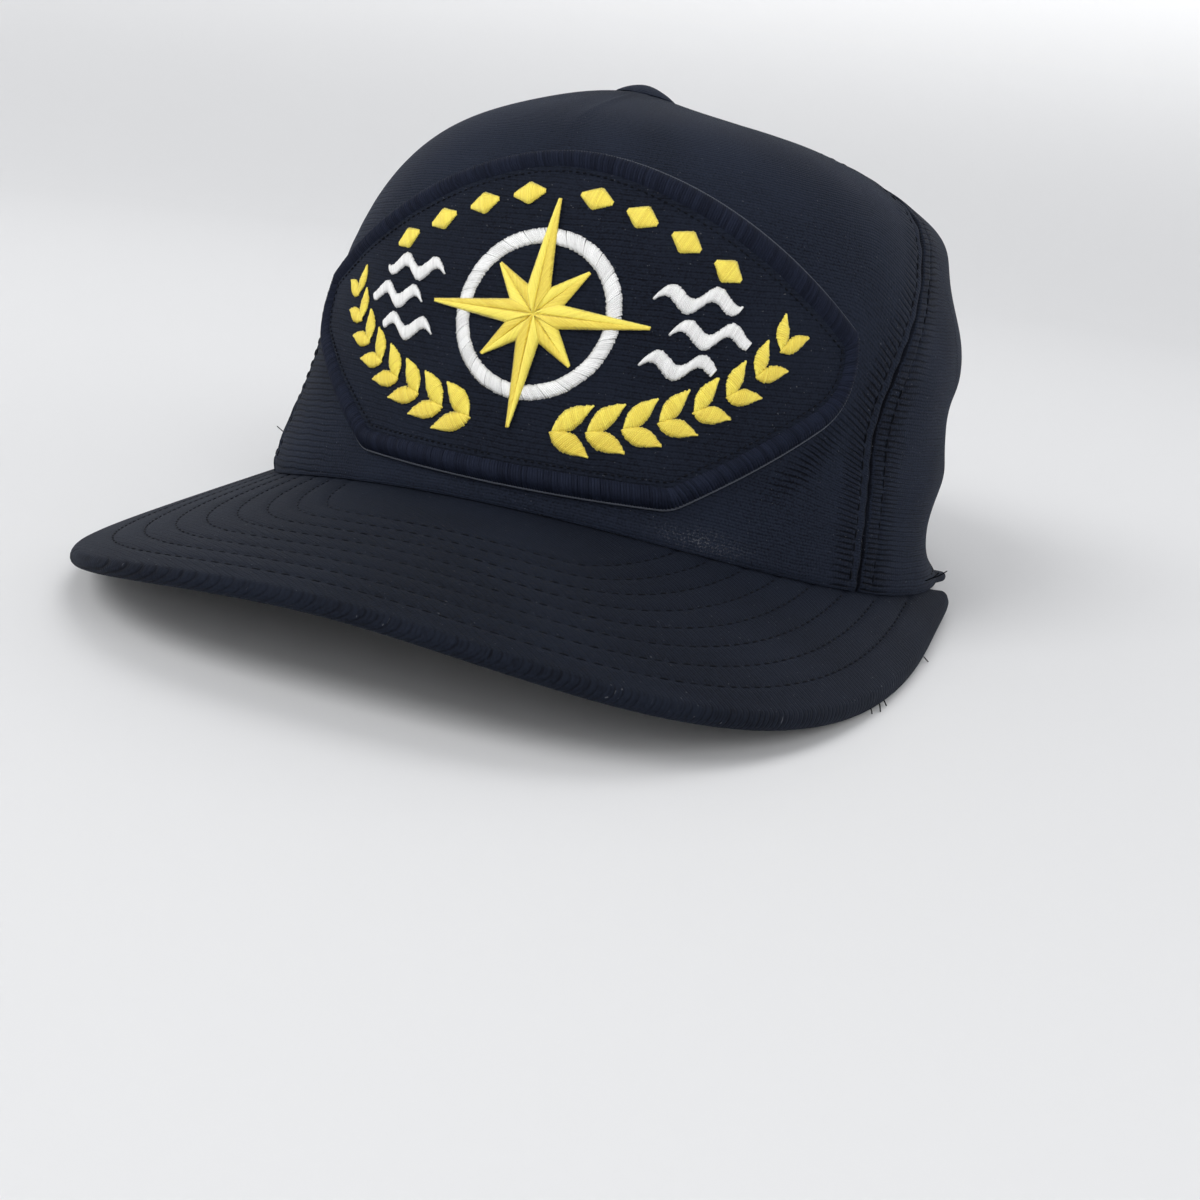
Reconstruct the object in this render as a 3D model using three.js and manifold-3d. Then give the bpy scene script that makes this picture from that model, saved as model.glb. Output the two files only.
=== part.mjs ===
import * as THREE from 'three';
import { mergeVertices } from 'three/addons/utils/BufferGeometryUtils.js';
import Module from 'manifold-3d';

// A five-panel snapback cap, in millimetres and degrees, +Z up.
// The cap faces -Y and the wearer's left is +X. Shapes are worked out in the cap's own
// frame, whose origin is the middle of the rim, and the whole is then set down on z = 0.

// Driving dimensions of the crown, measured on its outer face
const RIM = { halfWidth: 91.7, front: 92.6, back: 107 };
const APEX = { x: -6, y: -13.2, height: 104, gather: 4 };
const PEAK = { x: -11, y: -19, height: 3.6, spread: 22, power: 8 };
const CURVE = { front: 3.02, side: 2.86, back: 2.32 };
const FACING_POWER = 1.5;
const BULGE = { side: -7, back: 5.2, frontLean: 9.2 };
const WALL = { front: 2.4, soft: 1.5, hem: 2.6, hemRise: 0.14 };
const SEAM_GAP = 0.36;
const REST_FLAT_Y = 34;
const SET_DOWN_Y = 27.9;

// Seams run from the rim to the apex; psi is the angle round the rim from the front
const FRONT_SEAM = { rimPsi: 55.5, topPsi: 97, turnFrom: 0.19, turnTo: 0.7 };
const REAR_SEAM_PSI = 122;
const BACK_SEAM_PSI = 180;
const CROWN_TOP = 0.975;

// Where the soft panels cave in or swell; side is +1 for the wearer's left
const FOLDS = [
  { side: 1, psi: 95, rise: 12, depth: 9.5, spreadPsi: 15, spreadRise: 9 },
  { side: 1, psi: 114, rise: 2, depth: 8.5, spreadPsi: 20, spreadRise: 26 },
  { side: 1, psi: 104, rise: 36, depth: 5.4, spreadPsi: 13, spreadRise: 8 },
  { side: 1, psi: 100, rise: 60, depth: -3.4, spreadPsi: 24, spreadRise: 17 },
  { side: 1, psi: 114, rise: 86, depth: -8.5, spreadPsi: 24, spreadRise: 11 },
  { side: -1, psi: 58, rise: 4, depth: -3.6, spreadPsi: 24, spreadRise: 20 },
  { side: -1, psi: 62, rise: 50, depth: -1.2, spreadPsi: 24, spreadRise: 26 },
  { side: -1, psi: 97, rise: 20, depth: 6, spreadPsi: 16, spreadRise: 12 },
  { side: -1, psi: 114, rise: 2, depth: 7, spreadPsi: 20, spreadRise: 26 },
  { side: -1, psi: 110, rise: 60, depth: -2.8, spreadPsi: 24, spreadRise: 18 },
  { side: 1, psi: 150, rise: 74, depth: 2.6, spreadPsi: 16, spreadRise: 10 },
  { side: -1, psi: 145, rise: 66, depth: 2.2, spreadPsi: 18, spreadRise: 9 },
];

// The visor is a sheet bent about a line along Y, with a round outer edge
const VISOR = {
  rootY: -19.5,
  reach: 145.8,
  flare: 4.8,
  flareRise: 0.12,
  squareness: 2.92,
  bendRadius: 202,
  pitch: 0.085,
  thickness: 3.6,
  tuck: 2.6,
  overRoot: 8,
};
const NOSE_ANGLES = [45, 0, -45];

// The patch is laid out flat: u across the front, v up from the front rim
const PATCH = {
  bottomV: 5,
  topV: 79.5,
  shoulderV: 32.5,
  bottomHalf: 39.5,
  shoulderHalf: 79.5,
  cornerRound: 3,
  shoulderRound: 11,
  shoulderLean: 2.75,
  archWaist: { half: 0.86, rise: 0.37 },
  archTopHalf: 0.32,
  twist: 0.026,
  borderWidth: 4.6,
  borderHeight: 2.3,
  borderWaist: 1.27,
  groundHeight: 1.4,
  middleV: 38.5,
  seat: 0.35,
};

const OPENING = { halfWidth: 45, height: 51 };
const STRAP = {
  bottom: 1.2,
  height: 20,
  thickness: 1.4,
  endPsi: 46,
  lapPsi: 17,
  lapBlendPsi: 2,
  seat: 0.4,
};
const STUD = { count: 7, spacing: 10, rootRadius: 2.4, tipRadius: 2.04, height: 1.6, sides: 10 };
const BUTTON = {
  radius: 7.2,
  height: 2.3,
  skirt: 0.7,
  stemRadius: 2.2,
  stemDepth: 4,
  seat: 0.35,
  sides: 24,
};
const BUTTON_DOME_ANGLES = [0, 30, 55, 75];

const GRID = {
  rows: 16,
  frontColumns: 28,
  sideColumns: 12,
  backColumns: 11,
  visorStations: 46,
  visorSteps: 6,
  patchPoints: 52,
  patchRings: 7,
  strapColumns: 26,
  archPoints: 20,
};

// Small steps for slopes and lengths on the crown, and the distance at which points are one
const STEP = { psi: 0.2, q: 0.002, turn: 0.1 };
const WELD = 0.0001;

const rad = THREE.MathUtils.degToRad;
const { lerp, smoothstep } = THREE.MathUtils;

const MATERIALS = {
  cloth: { color: 0x23272f, roughness: 0.86, metalness: 0 },
  patchGround: { color: 0x161922, roughness: 0.9, metalness: 0 },
  thread: { color: 0x12151d, roughness: 0.7, metalness: 0 },
  strap: { color: 0x1b1e25, roughness: 0.42, metalness: 0 },
};

const wasm = await Module();
wasm.setup();

// Plan of the rim at an angle psi from the front
function rimPlan(psi) {
  const depth = Math.cos(rad(psi)) > 0 ? RIM.front : RIM.back;
  return { x: RIM.halfWidth * Math.sin(rad(psi)), y: -depth * Math.cos(rad(psi)) };
}

const rootPsi = THREE.MathUtils.radToDeg(Math.acos(-VISOR.rootY / RIM.front));
const rootX = rimPlan(rootPsi).x;

function visorTop(x, y) {
  return VISOR.pitch * (y - VISOR.rootY) + (rootX * rootX - x * x) / (2 * VISOR.bendRadius);
}

// Plan of the visor's free edge; turn runs from 0 at the left root to 180 at the right one
function visorEdge(turn) {
  const across = Math.cos(rad(turn));
  const along = Math.sin(rad(turn));
  const power = 2 / VISOR.squareness;
  const half = rootX + VISOR.flare * Math.max(along, 0) ** VISOR.flareRise;
  return new THREE.Vector2(
    half * Math.sign(across) * Math.abs(across) ** power,
    VISOR.rootY - VISOR.reach * Math.max(along, 0) ** power,
  );
}

// Points of the free edge at equal distances along it
function visorEdgePoints() {
  const line = [];
  for (let turn = 0; turn <= 180; turn += STEP.turn) {
    line.push(visorEdge(turn));
  }
  const run = [0];
  for (let k = 1; k < line.length; k += 1) {
    run.push(run[k - 1] + line[k].distanceTo(line[k - 1]));
  }
  const points = [];
  let k = 1;
  for (let station = 0; station <= GRID.visorStations; station += 1) {
    const at = run.at(-1) * station / GRID.visorStations;
    while (k < line.length - 1 && run[k] < at) {
      k += 1;
    }
    const share = (at - run[k - 1]) / (run[k] - run[k - 1]);
    points.push(line[k - 1].clone().lerp(line[k], share));
  }
  return points;
}

const visorEdgeLine = visorEdgePoints();

// Plan of one visor section: its root under the panels, its nose on the free edge, and the
// share of the way between them at which the round nose begins
function visorPlan(station) {
  const share = station / GRID.visorStations;
  const rim = rimPlan(lerp(rootPsi, -rootPsi, share));
  const root = new THREE.Vector2(rim.x, rim.y);
  root.setLength(root.length() - VISOR.tuck);
  const nose = visorEdgeLine[station];
  const noseStart = 1 - Math.min(VISOR.thickness / 2 / root.distanceTo(nose), 1);
  return { root, nose, noseStart };
}

// The cap stands on the back of its rim and on the two low sides of the visor
function restingTilt() {
  let tilt = 0;
  for (let station = 0; station <= GRID.visorStations; station += 1) {
    const { root, nose, noseStart } = visorPlan(station);
    const low = root.lerp(nose, noseStart);
    const drop = VISOR.thickness - visorTop(low.x, low.y);
    tilt = Math.max(tilt, Math.atan2(drop, RIM.back - low.y));
  }
  return tilt;
}

const restTilt = restingTilt();

// Lower edge of the panels: it follows the visor in front and lies on the floor behind
function rimHeight(x, y) {
  const onVisor = visorTop(x, y) + SEAM_GAP;
  const onFloor = -Math.tan(restTilt) * (RIM.back - y);
  return lerp(onVisor, onFloor, smoothstep(y, VISOR.rootY + VISOR.overRoot, REST_FLAT_Y));
}

function foldDepth(psi, rise) {
  const turn = psi > BACK_SEAM_PSI ? psi - 2 * BACK_SEAM_PSI : psi;
  let depth = 0;
  for (const fold of FOLDS) {
    const across = (turn * fold.side - fold.psi) / fold.spreadPsi;
    const up = (rise - fold.rise) / fold.spreadRise;
    depth += fold.depth * Math.exp(-across * across - up * up);
  }
  return depth;
}

// How far a meridian belongs to the front, side or back, and its superellipse power
function meridian(psi) {
  const facing = Math.cos(rad(psi));
  const front = Math.max(facing, 0) ** FACING_POWER;
  const back = Math.max(-facing, 0) ** FACING_POWER;
  const side = 1 - front - back;
  const power = CURVE.front * front + CURVE.side * side + CURVE.back * back;
  return { front, back, side, power };
}

// Outer face of the crown: superellipse meridians from the rim (q = 0) to the apex (q = 1),
// with a soft peak in front of the button
function crownOuter(psi, q) {
  const { x, y } = rimPlan(psi);
  const { front, back, side, power } = meridian(psi);
  const cos = Math.cos(q * Math.PI / 2);
  const sin = Math.sin(q * Math.PI / 2);
  const scale = (cos ** power + sin ** power) ** (-1 / power);
  const reach = scale * cos;
  const climb = scale * sin;
  const swell = Math.sin(Math.PI * Math.min(climb, 1));
  const low = rimHeight(x, y);
  const z = low + (APEX.height - low) * climb;
  const radius = Math.hypot(x, y);
  const out = (BULGE.side * side + BULGE.back * back) * swell - foldDepth(psi, z);
  const point = new THREE.Vector3(
    APEX.x * (1 - reach) ** APEX.gather + x * reach + out * x / radius,
    APEX.y * (1 - reach) + y * reach + out * y / radius + BULGE.frontLean * front * swell,
    z,
  );
  const fromPeak = Math.hypot(point.x - PEAK.x, point.y - PEAK.y) / PEAK.spread;
  point.z += PEAK.height * Math.exp(-fromPeak * fromPeak) * climb ** PEAK.power;
  return point;
}

// A point of the crown moved outwards along the surface normal
function crownPoint(psi, q, offset) {
  const point = crownOuter(psi, q);
  const across = crownOuter(psi + STEP.psi, q).sub(crownOuter(psi - STEP.psi, q));
  const up = crownOuter(psi, q + STEP.q).sub(crownOuter(psi, Math.max(q - STEP.q, 0)));
  const normal = across.cross(up).normalize();
  return point.addScaledVector(normal, offset);
}

// One closed body from points and triangles, with its faces pointing out
function solid(points, faces) {
  let volume = 0;
  for (const [a, b, c] of faces) {
    volume += points[a].dot(new THREE.Vector3().crossVectors(points[b], points[c]));
  }
  const order = volume < 0 ? faces.map(([a, b, c]) => [a, c, b]) : faces;
  const geometry = new THREE.BufferGeometry();
  const places = points.flatMap((point) => point.toArray());
  geometry.setAttribute('position', new THREE.Float32BufferAttribute(places, 3));
  geometry.setIndex(order.flat());
  return geometry;
}

function quad(a, b, c, d) {
  return [[a, b, c], [a, c, d]];
}

// Closed plate between an outer and an inner grid of points
function plate(columns, rows, outer, inner) {
  const points = [];
  const faces = [];
  for (const layer of [outer, inner]) {
    for (let j = 0; j <= rows; j += 1) {
      for (let i = 0; i <= columns; i += 1) {
        points.push(layer(i / columns, j / rows));
      }
    }
  }
  const half = (columns + 1) * (rows + 1);
  const at = (i, j) => j * (columns + 1) + i;
  const rim = (a, b) => faces.push(...quad(b, a, a + half, b + half));
  for (let j = 0; j < rows; j += 1) {
    for (let i = 0; i < columns; i += 1) {
      const ring = [at(i, j), at(i + 1, j), at(i + 1, j + 1), at(i, j + 1)];
      faces.push(...quad(...ring));
      faces.push(...quad(...ring.map((k) => k + half).reverse()));
    }
  }
  for (let i = 0; i < columns; i += 1) {
    rim(at(i, 0), at(i + 1, 0));
    rim(at(i + 1, rows), at(i, rows));
  }
  for (let j = 0; j < rows; j += 1) {
    rim(at(columns, j), at(columns, j + 1));
    rim(at(0, j + 1), at(0, j));
  }
  return solid(points, faces);
}

// Faces that close a flat loop by joining its two long sides, point by point
function loopCap(base, count) {
  const faces = [];
  for (let k = 0; k < (count - 1) / 2; k += 1) {
    const near = base + k;
    const far = base + count - 1 - k;
    const strip = far - near > 2 ? quad(near, near + 1, far - 1, far) : [[near, near + 1, far]];
    faces.push(...strip);
  }
  return faces;
}

// Closed body through sections of equal point counts, as a ring or with capped ends
function loft(sections, ring) {
  const count = sections[0].length;
  const faces = [];
  const spans = ring ? sections.length : sections.length - 1;
  for (let s = 0; s < spans; s += 1) {
    const here = s * count;
    const next = ((s + 1) % sections.length) * count;
    for (let k = 0; k < count; k += 1) {
      const l = (k + 1) % count;
      faces.push(...quad(here + k, here + l, next + l, next + k));
    }
  }
  if (!ring) {
    faces.push(...loopCap(0, count).map((face) => face.reverse()));
    faces.push(...loopCap((sections.length - 1) * count, count));
  }
  return solid(sections.flat(), faces);
}

function toManifold(geometry) {
  const bare = geometry.clone();
  bare.deleteAttribute('normal');
  bare.deleteAttribute('uv');
  const merged = mergeVertices(bare, WELD);
  return new wasm.Manifold(new wasm.Mesh({
    numProp: 3,
    vertProperties: new Float32Array(merged.attributes.position.array),
    triVerts: new Uint32Array(merged.index.array),
  }));
}

function toGeometry(manifold) {
  const mesh = manifold.getMesh();
  const geometry = new THREE.BufferGeometry();
  geometry.setAttribute('position', new THREE.Float32BufferAttribute(mesh.vertProperties, 3));
  geometry.setIndex(Array.from(mesh.triVerts));
  return geometry;
}

// Millimetres of crown surface for one degree of psi
function arcPerDegree(psi, q) {
  const chord = crownOuter(psi + STEP.psi, q).distanceTo(crownOuter(psi - STEP.psi, q));
  return chord / (2 * STEP.psi);
}

function frontSeam(q) {
  const turn = smoothstep(q, FRONT_SEAM.turnFrom, FRONT_SEAM.turnTo);
  return lerp(FRONT_SEAM.rimPsi, FRONT_SEAM.topPsi, turn);
}

// One cloth panel between two seams, with its hem turned in along the rim
function panel(fromPsi, toPsi, columns, thickness) {
  const at = (across, up, depth) => {
    const q = up * CROWN_TOP;
    const margin = (psi) => SEAM_GAP / 2 / arcPerDegree(psi, q);
    const from = fromPsi(q);
    const to = toPsi(q);
    const psi = lerp(from + margin(from), to - margin(to), across);
    const point = crownPoint(psi, q, -depth(q));
    if (up === 0) {
      point.z = rimHeight(point.x, point.y);
    }
    return point;
  };
  const none = () => 0;
  const wall = (q) => lerp(WALL.hem, thickness, smoothstep(q, 0, WALL.hemRise));
  return plate(columns, GRID.rows, (u, v) => at(u, v, none), (u, v) => at(u, v, wall));
}

function frontPanel() {
  return panel((q) => -frontSeam(q), frontSeam, GRID.frontColumns, WALL.front);
}

// Panels behind the front one are alike on both sides, so the right one swaps its seams
function sidedPanel(near, far, side, columns) {
  const from = side > 0 ? near : (q) => -far(q);
  const to = side > 0 ? far : (q) => -near(q);
  return panel(from, to, columns, WALL.soft);
}

const rearSeam = () => REAR_SEAM_PSI;
const backSeam = () => BACK_SEAM_PSI;

function sidePanel(side) {
  return sidedPanel(frontSeam, rearSeam, side, GRID.sideColumns);
}

// Half-moon opening above the strap, as a bar along Y
function openingBar() {
  const deep = OPENING.halfWidth;
  const arch = new THREE.Shape();
  arch.moveTo(-OPENING.halfWidth, -deep);
  arch.lineTo(OPENING.halfWidth, -deep);
  arch.lineTo(OPENING.halfWidth, 0);
  arch.absellipse(0, 0, OPENING.halfWidth, OPENING.height, 0, Math.PI, false);
  arch.closePath();
  const bar = new THREE.ExtrudeGeometry(arch, {
    depth: RIM.back,
    bevelEnabled: false,
    curveSegments: GRID.archPoints,
  });
  bar.rotateX(Math.PI / 2);
  bar.translate(0, RIM.back + RIM.back / 2, 0);
  return bar;
}

function backPanel(side) {
  const whole = sidedPanel(rearSeam, backSeam, side, GRID.backColumns);
  return toGeometry(toManifold(whole).subtract(toManifold(openingBar())));
}

// Visor: sections from the rim to the free edge, each a flat strip with a round nose
function visor() {
  const half = VISOR.thickness / 2;
  const sections = [];
  for (let station = 0; station <= GRID.visorStations; station += 1) {
    const { root, nose, noseStart } = visorPlan(station);
    const at = (share, lift) => {
      const plan = root.clone().lerp(nose, share);
      return new THREE.Vector3(plan.x, plan.y, visorTop(plan.x, plan.y) - half + lift);
    };
    const shares = [];
    for (let k = 0; k <= GRID.visorSteps; k += 1) {
      shares.push(noseStart * k / GRID.visorSteps);
    }
    const top = shares.map((share) => at(share, half));
    const under = shares.map((share) => at(share, -half)).reverse();
    const round = NOSE_ANGLES.map((angle) => at(
      lerp(noseStart, 1, Math.cos(rad(angle))),
      half * Math.sin(rad(angle)),
    ));
    sections.push([...top, ...round, ...under]);
  }
  return loft(sections, false);
}

// The q at which the meridian at psi reaches a height
function qAtHeight(psi, z) {
  const { x, y } = rimPlan(psi);
  const low = rimHeight(x, y);
  const { power } = meridian(psi);
  const climb = Math.max((z - low) / (APEX.height - low), 0) ** power;
  return Math.atan((climb / (1 - climb)) ** (1 / power)) * 2 / Math.PI;
}

// q on the front centre line at a distance v up the cloth from the rim
function qUpFront(v) {
  let q = 0;
  let length = 0;
  while (length < v) {
    length += crownOuter(0, q + STEP.q).distanceTo(crownOuter(0, q));
    q += STEP.q;
  }
  return q;
}

// Flat layout (u across, v up) wrapped on the front of the crown, at a height over it.
// It was sewn on with a slight twist, which grows upwards.
function frontPoint(u, v, height) {
  const q = qUpFront(v * (1 + PATCH.twist * u / PATCH.shoulderV));
  const level = crownOuter(0, q).z;
  const psi = u / arcPerDegree(0, q);
  return crownPoint(psi, qAtHeight(psi, level), height);
}

// Middle line of the patch border: flat foot, slanted sides and an arched top
function patchOutline() {
  const inset = PATCH.borderWidth / 2;
  const foot = PATCH.bottomV + inset;
  const head = PATCH.topV - inset;
  const footHalf = PATCH.bottomHalf - inset;
  const half = PATCH.shoulderHalf - inset;
  const slant = new THREE.Vector2(half - footHalf, PATCH.shoulderV - foot).normalize();
  const path = new THREE.Path();
  const side = (sign) => ({
    footIn: [sign * (footHalf - PATCH.cornerRound), foot],
    foot: [sign * footHalf, foot],
    footUp: [sign * (footHalf + slant.x * PATCH.cornerRound), foot + slant.y * PATCH.cornerRound],
    low: [
      sign * (half - slant.x * PATCH.shoulderRound),
      PATCH.shoulderV - slant.y * PATCH.shoulderRound,
    ],
    shoulder: [sign * half, PATCH.shoulderV],
    high: [sign * (half - PATCH.shoulderLean), PATCH.shoulderV + PATCH.shoulderRound],
    archLow: [sign * half * PATCH.archWaist.half, lerp(PATCH.shoulderV, head, PATCH.archWaist.rise)],
    archHigh: [sign * half * PATCH.archTopHalf, head],
  });
  const left = side(1);
  const right = side(-1);
  path.moveTo(...right.footIn);
  path.lineTo(...left.footIn);
  path.quadraticCurveTo(...left.foot, ...left.footUp);
  path.lineTo(...left.low);
  path.quadraticCurveTo(...left.shoulder, ...left.high);
  path.bezierCurveTo(...left.archLow, ...left.archHigh, 0, head);
  path.bezierCurveTo(...right.archHigh, ...right.archLow, ...right.high);
  path.quadraticCurveTo(...right.shoulder, ...right.low);
  path.lineTo(...right.footUp);
  path.quadraticCurveTo(...right.foot, ...right.footIn);
  return path.getSpacedPoints(GRID.patchPoints).slice(0, -1);
}

// Direction square to a closed outline at one of its points, towards the outside
function outwards(outline, index) {
  const count = outline.length;
  const next = outline[(index + 1) % count];
  const last = outline[(index + count - 1) % count];
  const run = next.clone().sub(last).normalize();
  return new THREE.Vector2(run.y, -run.x);
}

function patchBorder() {
  const outline = patchOutline();
  const half = PATCH.borderWidth / 2;
  const top = PATCH.seat + PATCH.borderHeight;
  const waist = PATCH.seat + PATCH.borderWaist;
  const profile = [
    { across: -half, height: PATCH.seat },
    { across: -half, height: waist },
    { across: -half / 2, height: top },
    { across: half / 2, height: top },
    { across: half, height: waist },
    { across: half, height: PATCH.seat },
  ];
  const sections = outline.map((point, index) => {
    const out = outwards(outline, index);
    return profile.map(({ across, height }) => frontPoint(
      point.x + out.x * across,
      point.y + out.y * across,
      height,
    ));
  });
  return loft(sections, true);
}

// Ground of the patch: rings of points that shrink to its middle, on two layers
function patchGround() {
  const border = patchOutline();
  const inset = PATCH.borderWidth / 2 + PATCH.seat;
  const outline = border.map((point, index) => (
    point.clone().addScaledVector(outwards(border, index), -inset)
  ));
  const middle = new THREE.Vector2(0, PATCH.middleV);
  const count = outline.length;
  const points = [];
  const faces = [];
  const heights = [PATCH.seat + PATCH.groundHeight, PATCH.seat];
  heights.forEach((height, layer) => {
    const base = points.length;
    points.push(frontPoint(middle.x, middle.y, height));
    for (let ring = 1; ring <= GRID.patchRings; ring += 1) {
      for (const corner of outline) {
        const flat = middle.clone().lerp(corner, ring / GRID.patchRings);
        points.push(frontPoint(flat.x, flat.y, height));
      }
    }
    const at = (ring, k) => base + 1 + (ring - 1) * count + (k % count);
    const layerFaces = [];
    for (let k = 0; k < count; k += 1) {
      layerFaces.push([base, at(1, k), at(1, k + 1)]);
      for (let ring = 1; ring < GRID.patchRings; ring += 1) {
        layerFaces.push(...quad(at(ring, k), at(ring + 1, k), at(ring + 1, k + 1), at(ring, k + 1)));
      }
    }
    faces.push(...(layer ? layerFaces.map((face) => face.reverse()) : layerFaces));
  });
  const perLayer = 1 + GRID.patchRings * count;
  const rimStart = 1 + (GRID.patchRings - 1) * count;
  for (let k = 0; k < count; k += 1) {
    const a = rimStart + k;
    const b = rimStart + (k + 1) % count;
    faces.push(...quad(b, a, a + perLayer, b + perLayer));
  }
  return solid(points, faces);
}

// Height above the floor at the back, as a height in the cap's own frame
function backHeight(y, rise) {
  return rise - Math.tan(restTilt) * (RIM.back - y);
}

function strapPoint(psi, rise, depth) {
  const z = backHeight(rimPlan(psi).y, rise);
  return crownPoint(psi, qAtHeight(psi, z), -depth);
}

// Strap inside the back rim, two layers thick where its ends lap, with a row of studs
function snapStrap() {
  const outerDepth = WALL.hem + STRAP.seat;
  const lapEnd = STRAP.lapPsi + STRAP.lapBlendPsi;
  const lap = (psi) => 1 - smoothstep(Math.abs(psi - BACK_SEAM_PSI), STRAP.lapPsi, lapEnd);
  const at = (across, up, depth) => {
    const psi = BACK_SEAM_PSI + STRAP.endPsi * (2 * across - 1);
    const rise = STRAP.bottom + STRAP.height * up;
    return strapPoint(psi, rise, depth(psi));
  };
  const outer = (u, v) => at(u, v, (psi) => outerDepth - STRAP.thickness * lap(psi));
  const inner = (u, v) => at(u, v, () => outerDepth + STRAP.thickness);
  let body = toManifold(plate(GRID.strapColumns, 2, outer, inner));
  for (let k = 0; k < STUD.count; k += 1) {
    body = body.add(toManifold(stud((k - (STUD.count - 1) / 2) * STUD.spacing, outerDepth)));
  }
  return toGeometry(body);
}

function stud(along, strapDepth) {
  const psi = BACK_SEAM_PSI + along / arcPerDegree(BACK_SEAM_PSI, 0);
  const rise = STRAP.bottom + STRAP.height / 2;
  const root = strapPoint(psi, rise, strapDepth);
  const axis = strapPoint(psi, rise, 0).sub(root).normalize();
  const length = STRAP.thickness + STUD.height;
  const peg = new THREE.CylinderGeometry(STUD.tipRadius, STUD.rootRadius, length, STUD.sides);
  peg.translate(0, length / 2, 0);
  peg.applyQuaternion(new THREE.Quaternion().setFromUnitVectors(new THREE.Vector3(0, 1, 0), axis));
  peg.translate(root.x, root.y, root.z);
  return peg;
}

// Cloth-covered button on the apex, with its stem down through the panels' meeting point
function topButton() {
  const profile = [
    new THREE.Vector2(0, -BUTTON.stemDepth),
    new THREE.Vector2(BUTTON.stemRadius, -BUTTON.stemDepth),
    new THREE.Vector2(BUTTON.stemRadius, 0),
    new THREE.Vector2(BUTTON.radius, 0),
  ];
  const dome = BUTTON.height - BUTTON.skirt;
  for (const angle of BUTTON_DOME_ANGLES) {
    profile.push(new THREE.Vector2(
      BUTTON.radius * Math.cos(rad(angle)),
      BUTTON.skirt + dome * Math.sin(rad(angle)),
    ));
  }
  profile.push(new THREE.Vector2(0, BUTTON.height));
  const button = new THREE.LatheGeometry(profile, BUTTON.sides);
  button.rotateX(Math.PI / 2);
  return button;
}

function named(name, geometry, finish) {
  const mesh = new THREE.Mesh(geometry, new THREE.MeshStandardMaterial(MATERIALS[finish]));
  mesh.name = name;
  return mesh;
}

const cap = new THREE.Group();
cap.add(
  named('front_panel', frontPanel(), 'cloth'),
  named('side_panel_left', sidePanel(1), 'cloth'),
  named('side_panel_right', sidePanel(-1), 'cloth'),
  named('back_panel_left', backPanel(1), 'cloth'),
  named('back_panel_right', backPanel(-1), 'cloth'),
  named('visor', visor(), 'cloth'),
  named('patch', patchGround(), 'patchGround'),
  named('patch_border', patchBorder(), 'thread'),
  named('snap_strap', snapStrap(), 'strap'),
);

const button = named('top_button', topButton(), 'cloth');
button.position.copy(crownOuter(0, 1));
button.position.z += BUTTON.seat;
cap.add(button);

// Set down on the floor, with the middle of its box over the origin
cap.rotation.x = -restTilt;
cap.position.set(0, SET_DOWN_Y, RIM.back * Math.sin(restTilt));

export default cap;
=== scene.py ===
import math
import random

import bpy
import numpy as np
from mathutils import Matrix, Vector


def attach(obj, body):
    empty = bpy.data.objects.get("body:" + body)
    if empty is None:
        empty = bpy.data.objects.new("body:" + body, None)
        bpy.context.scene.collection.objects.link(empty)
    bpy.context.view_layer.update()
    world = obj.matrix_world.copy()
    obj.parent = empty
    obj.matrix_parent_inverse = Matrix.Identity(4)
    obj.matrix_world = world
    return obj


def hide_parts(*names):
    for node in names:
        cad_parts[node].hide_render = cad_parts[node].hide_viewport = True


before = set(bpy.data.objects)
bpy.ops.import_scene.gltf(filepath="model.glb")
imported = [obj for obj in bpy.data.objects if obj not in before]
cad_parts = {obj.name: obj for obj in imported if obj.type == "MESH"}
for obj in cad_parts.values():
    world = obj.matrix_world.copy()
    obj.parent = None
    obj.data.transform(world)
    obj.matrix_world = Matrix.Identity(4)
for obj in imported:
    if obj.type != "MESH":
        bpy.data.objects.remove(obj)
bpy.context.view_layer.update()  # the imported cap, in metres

rng = random.Random(17)
print("cap loaded:", sorted(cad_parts))

# Sizes below are millimetres and degrees, in the cap's own frame: origin in the middle of the
# rim, facing -Y. psi is the angle round the rim from the front, q climbs from rim to apex.
mm = 0.001
crown = {
    "halfWidth": 91.7, "front": 92.6, "back": 107.0, "apexX": -6.0, "apexY": -13.2, "height": 104.0,
    "gather": 4, "peakX": -11.0, "peakY": -19.0, "peak": 3.6, "peakSpread": 22.0, "peakPower": 8,
    "curveFront": 3.02, "curveSide": 2.86, "curveBack": 2.32, "facingPower": 1.5,
    "bulgeSide": -7.0, "bulgeBack": 5.2, "frontLean": 9.2, "top": 0.975,
    "restFlatY": 34.0, "setDownY": 27.9, "rimLift": 0.36, "rearSeam": 122.0, "backSeam": 180.0,
}
frontSeamLine = {"rimPsi": 55.5, "topPsi": 97.0, "turnFrom": 0.19, "turnTo": 0.7}
visorForm = {
    "rootY": -19.5, "reach": 145.8, "flare": 4.8, "flareRise": 0.12, "squareness": 2.92,
    "bendRadius": 202.0, "pitch": 0.085, "thickness": 3.6, "tuck": 2.6, "overRoot": 8.0,
    "stations": 46,
}
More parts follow.
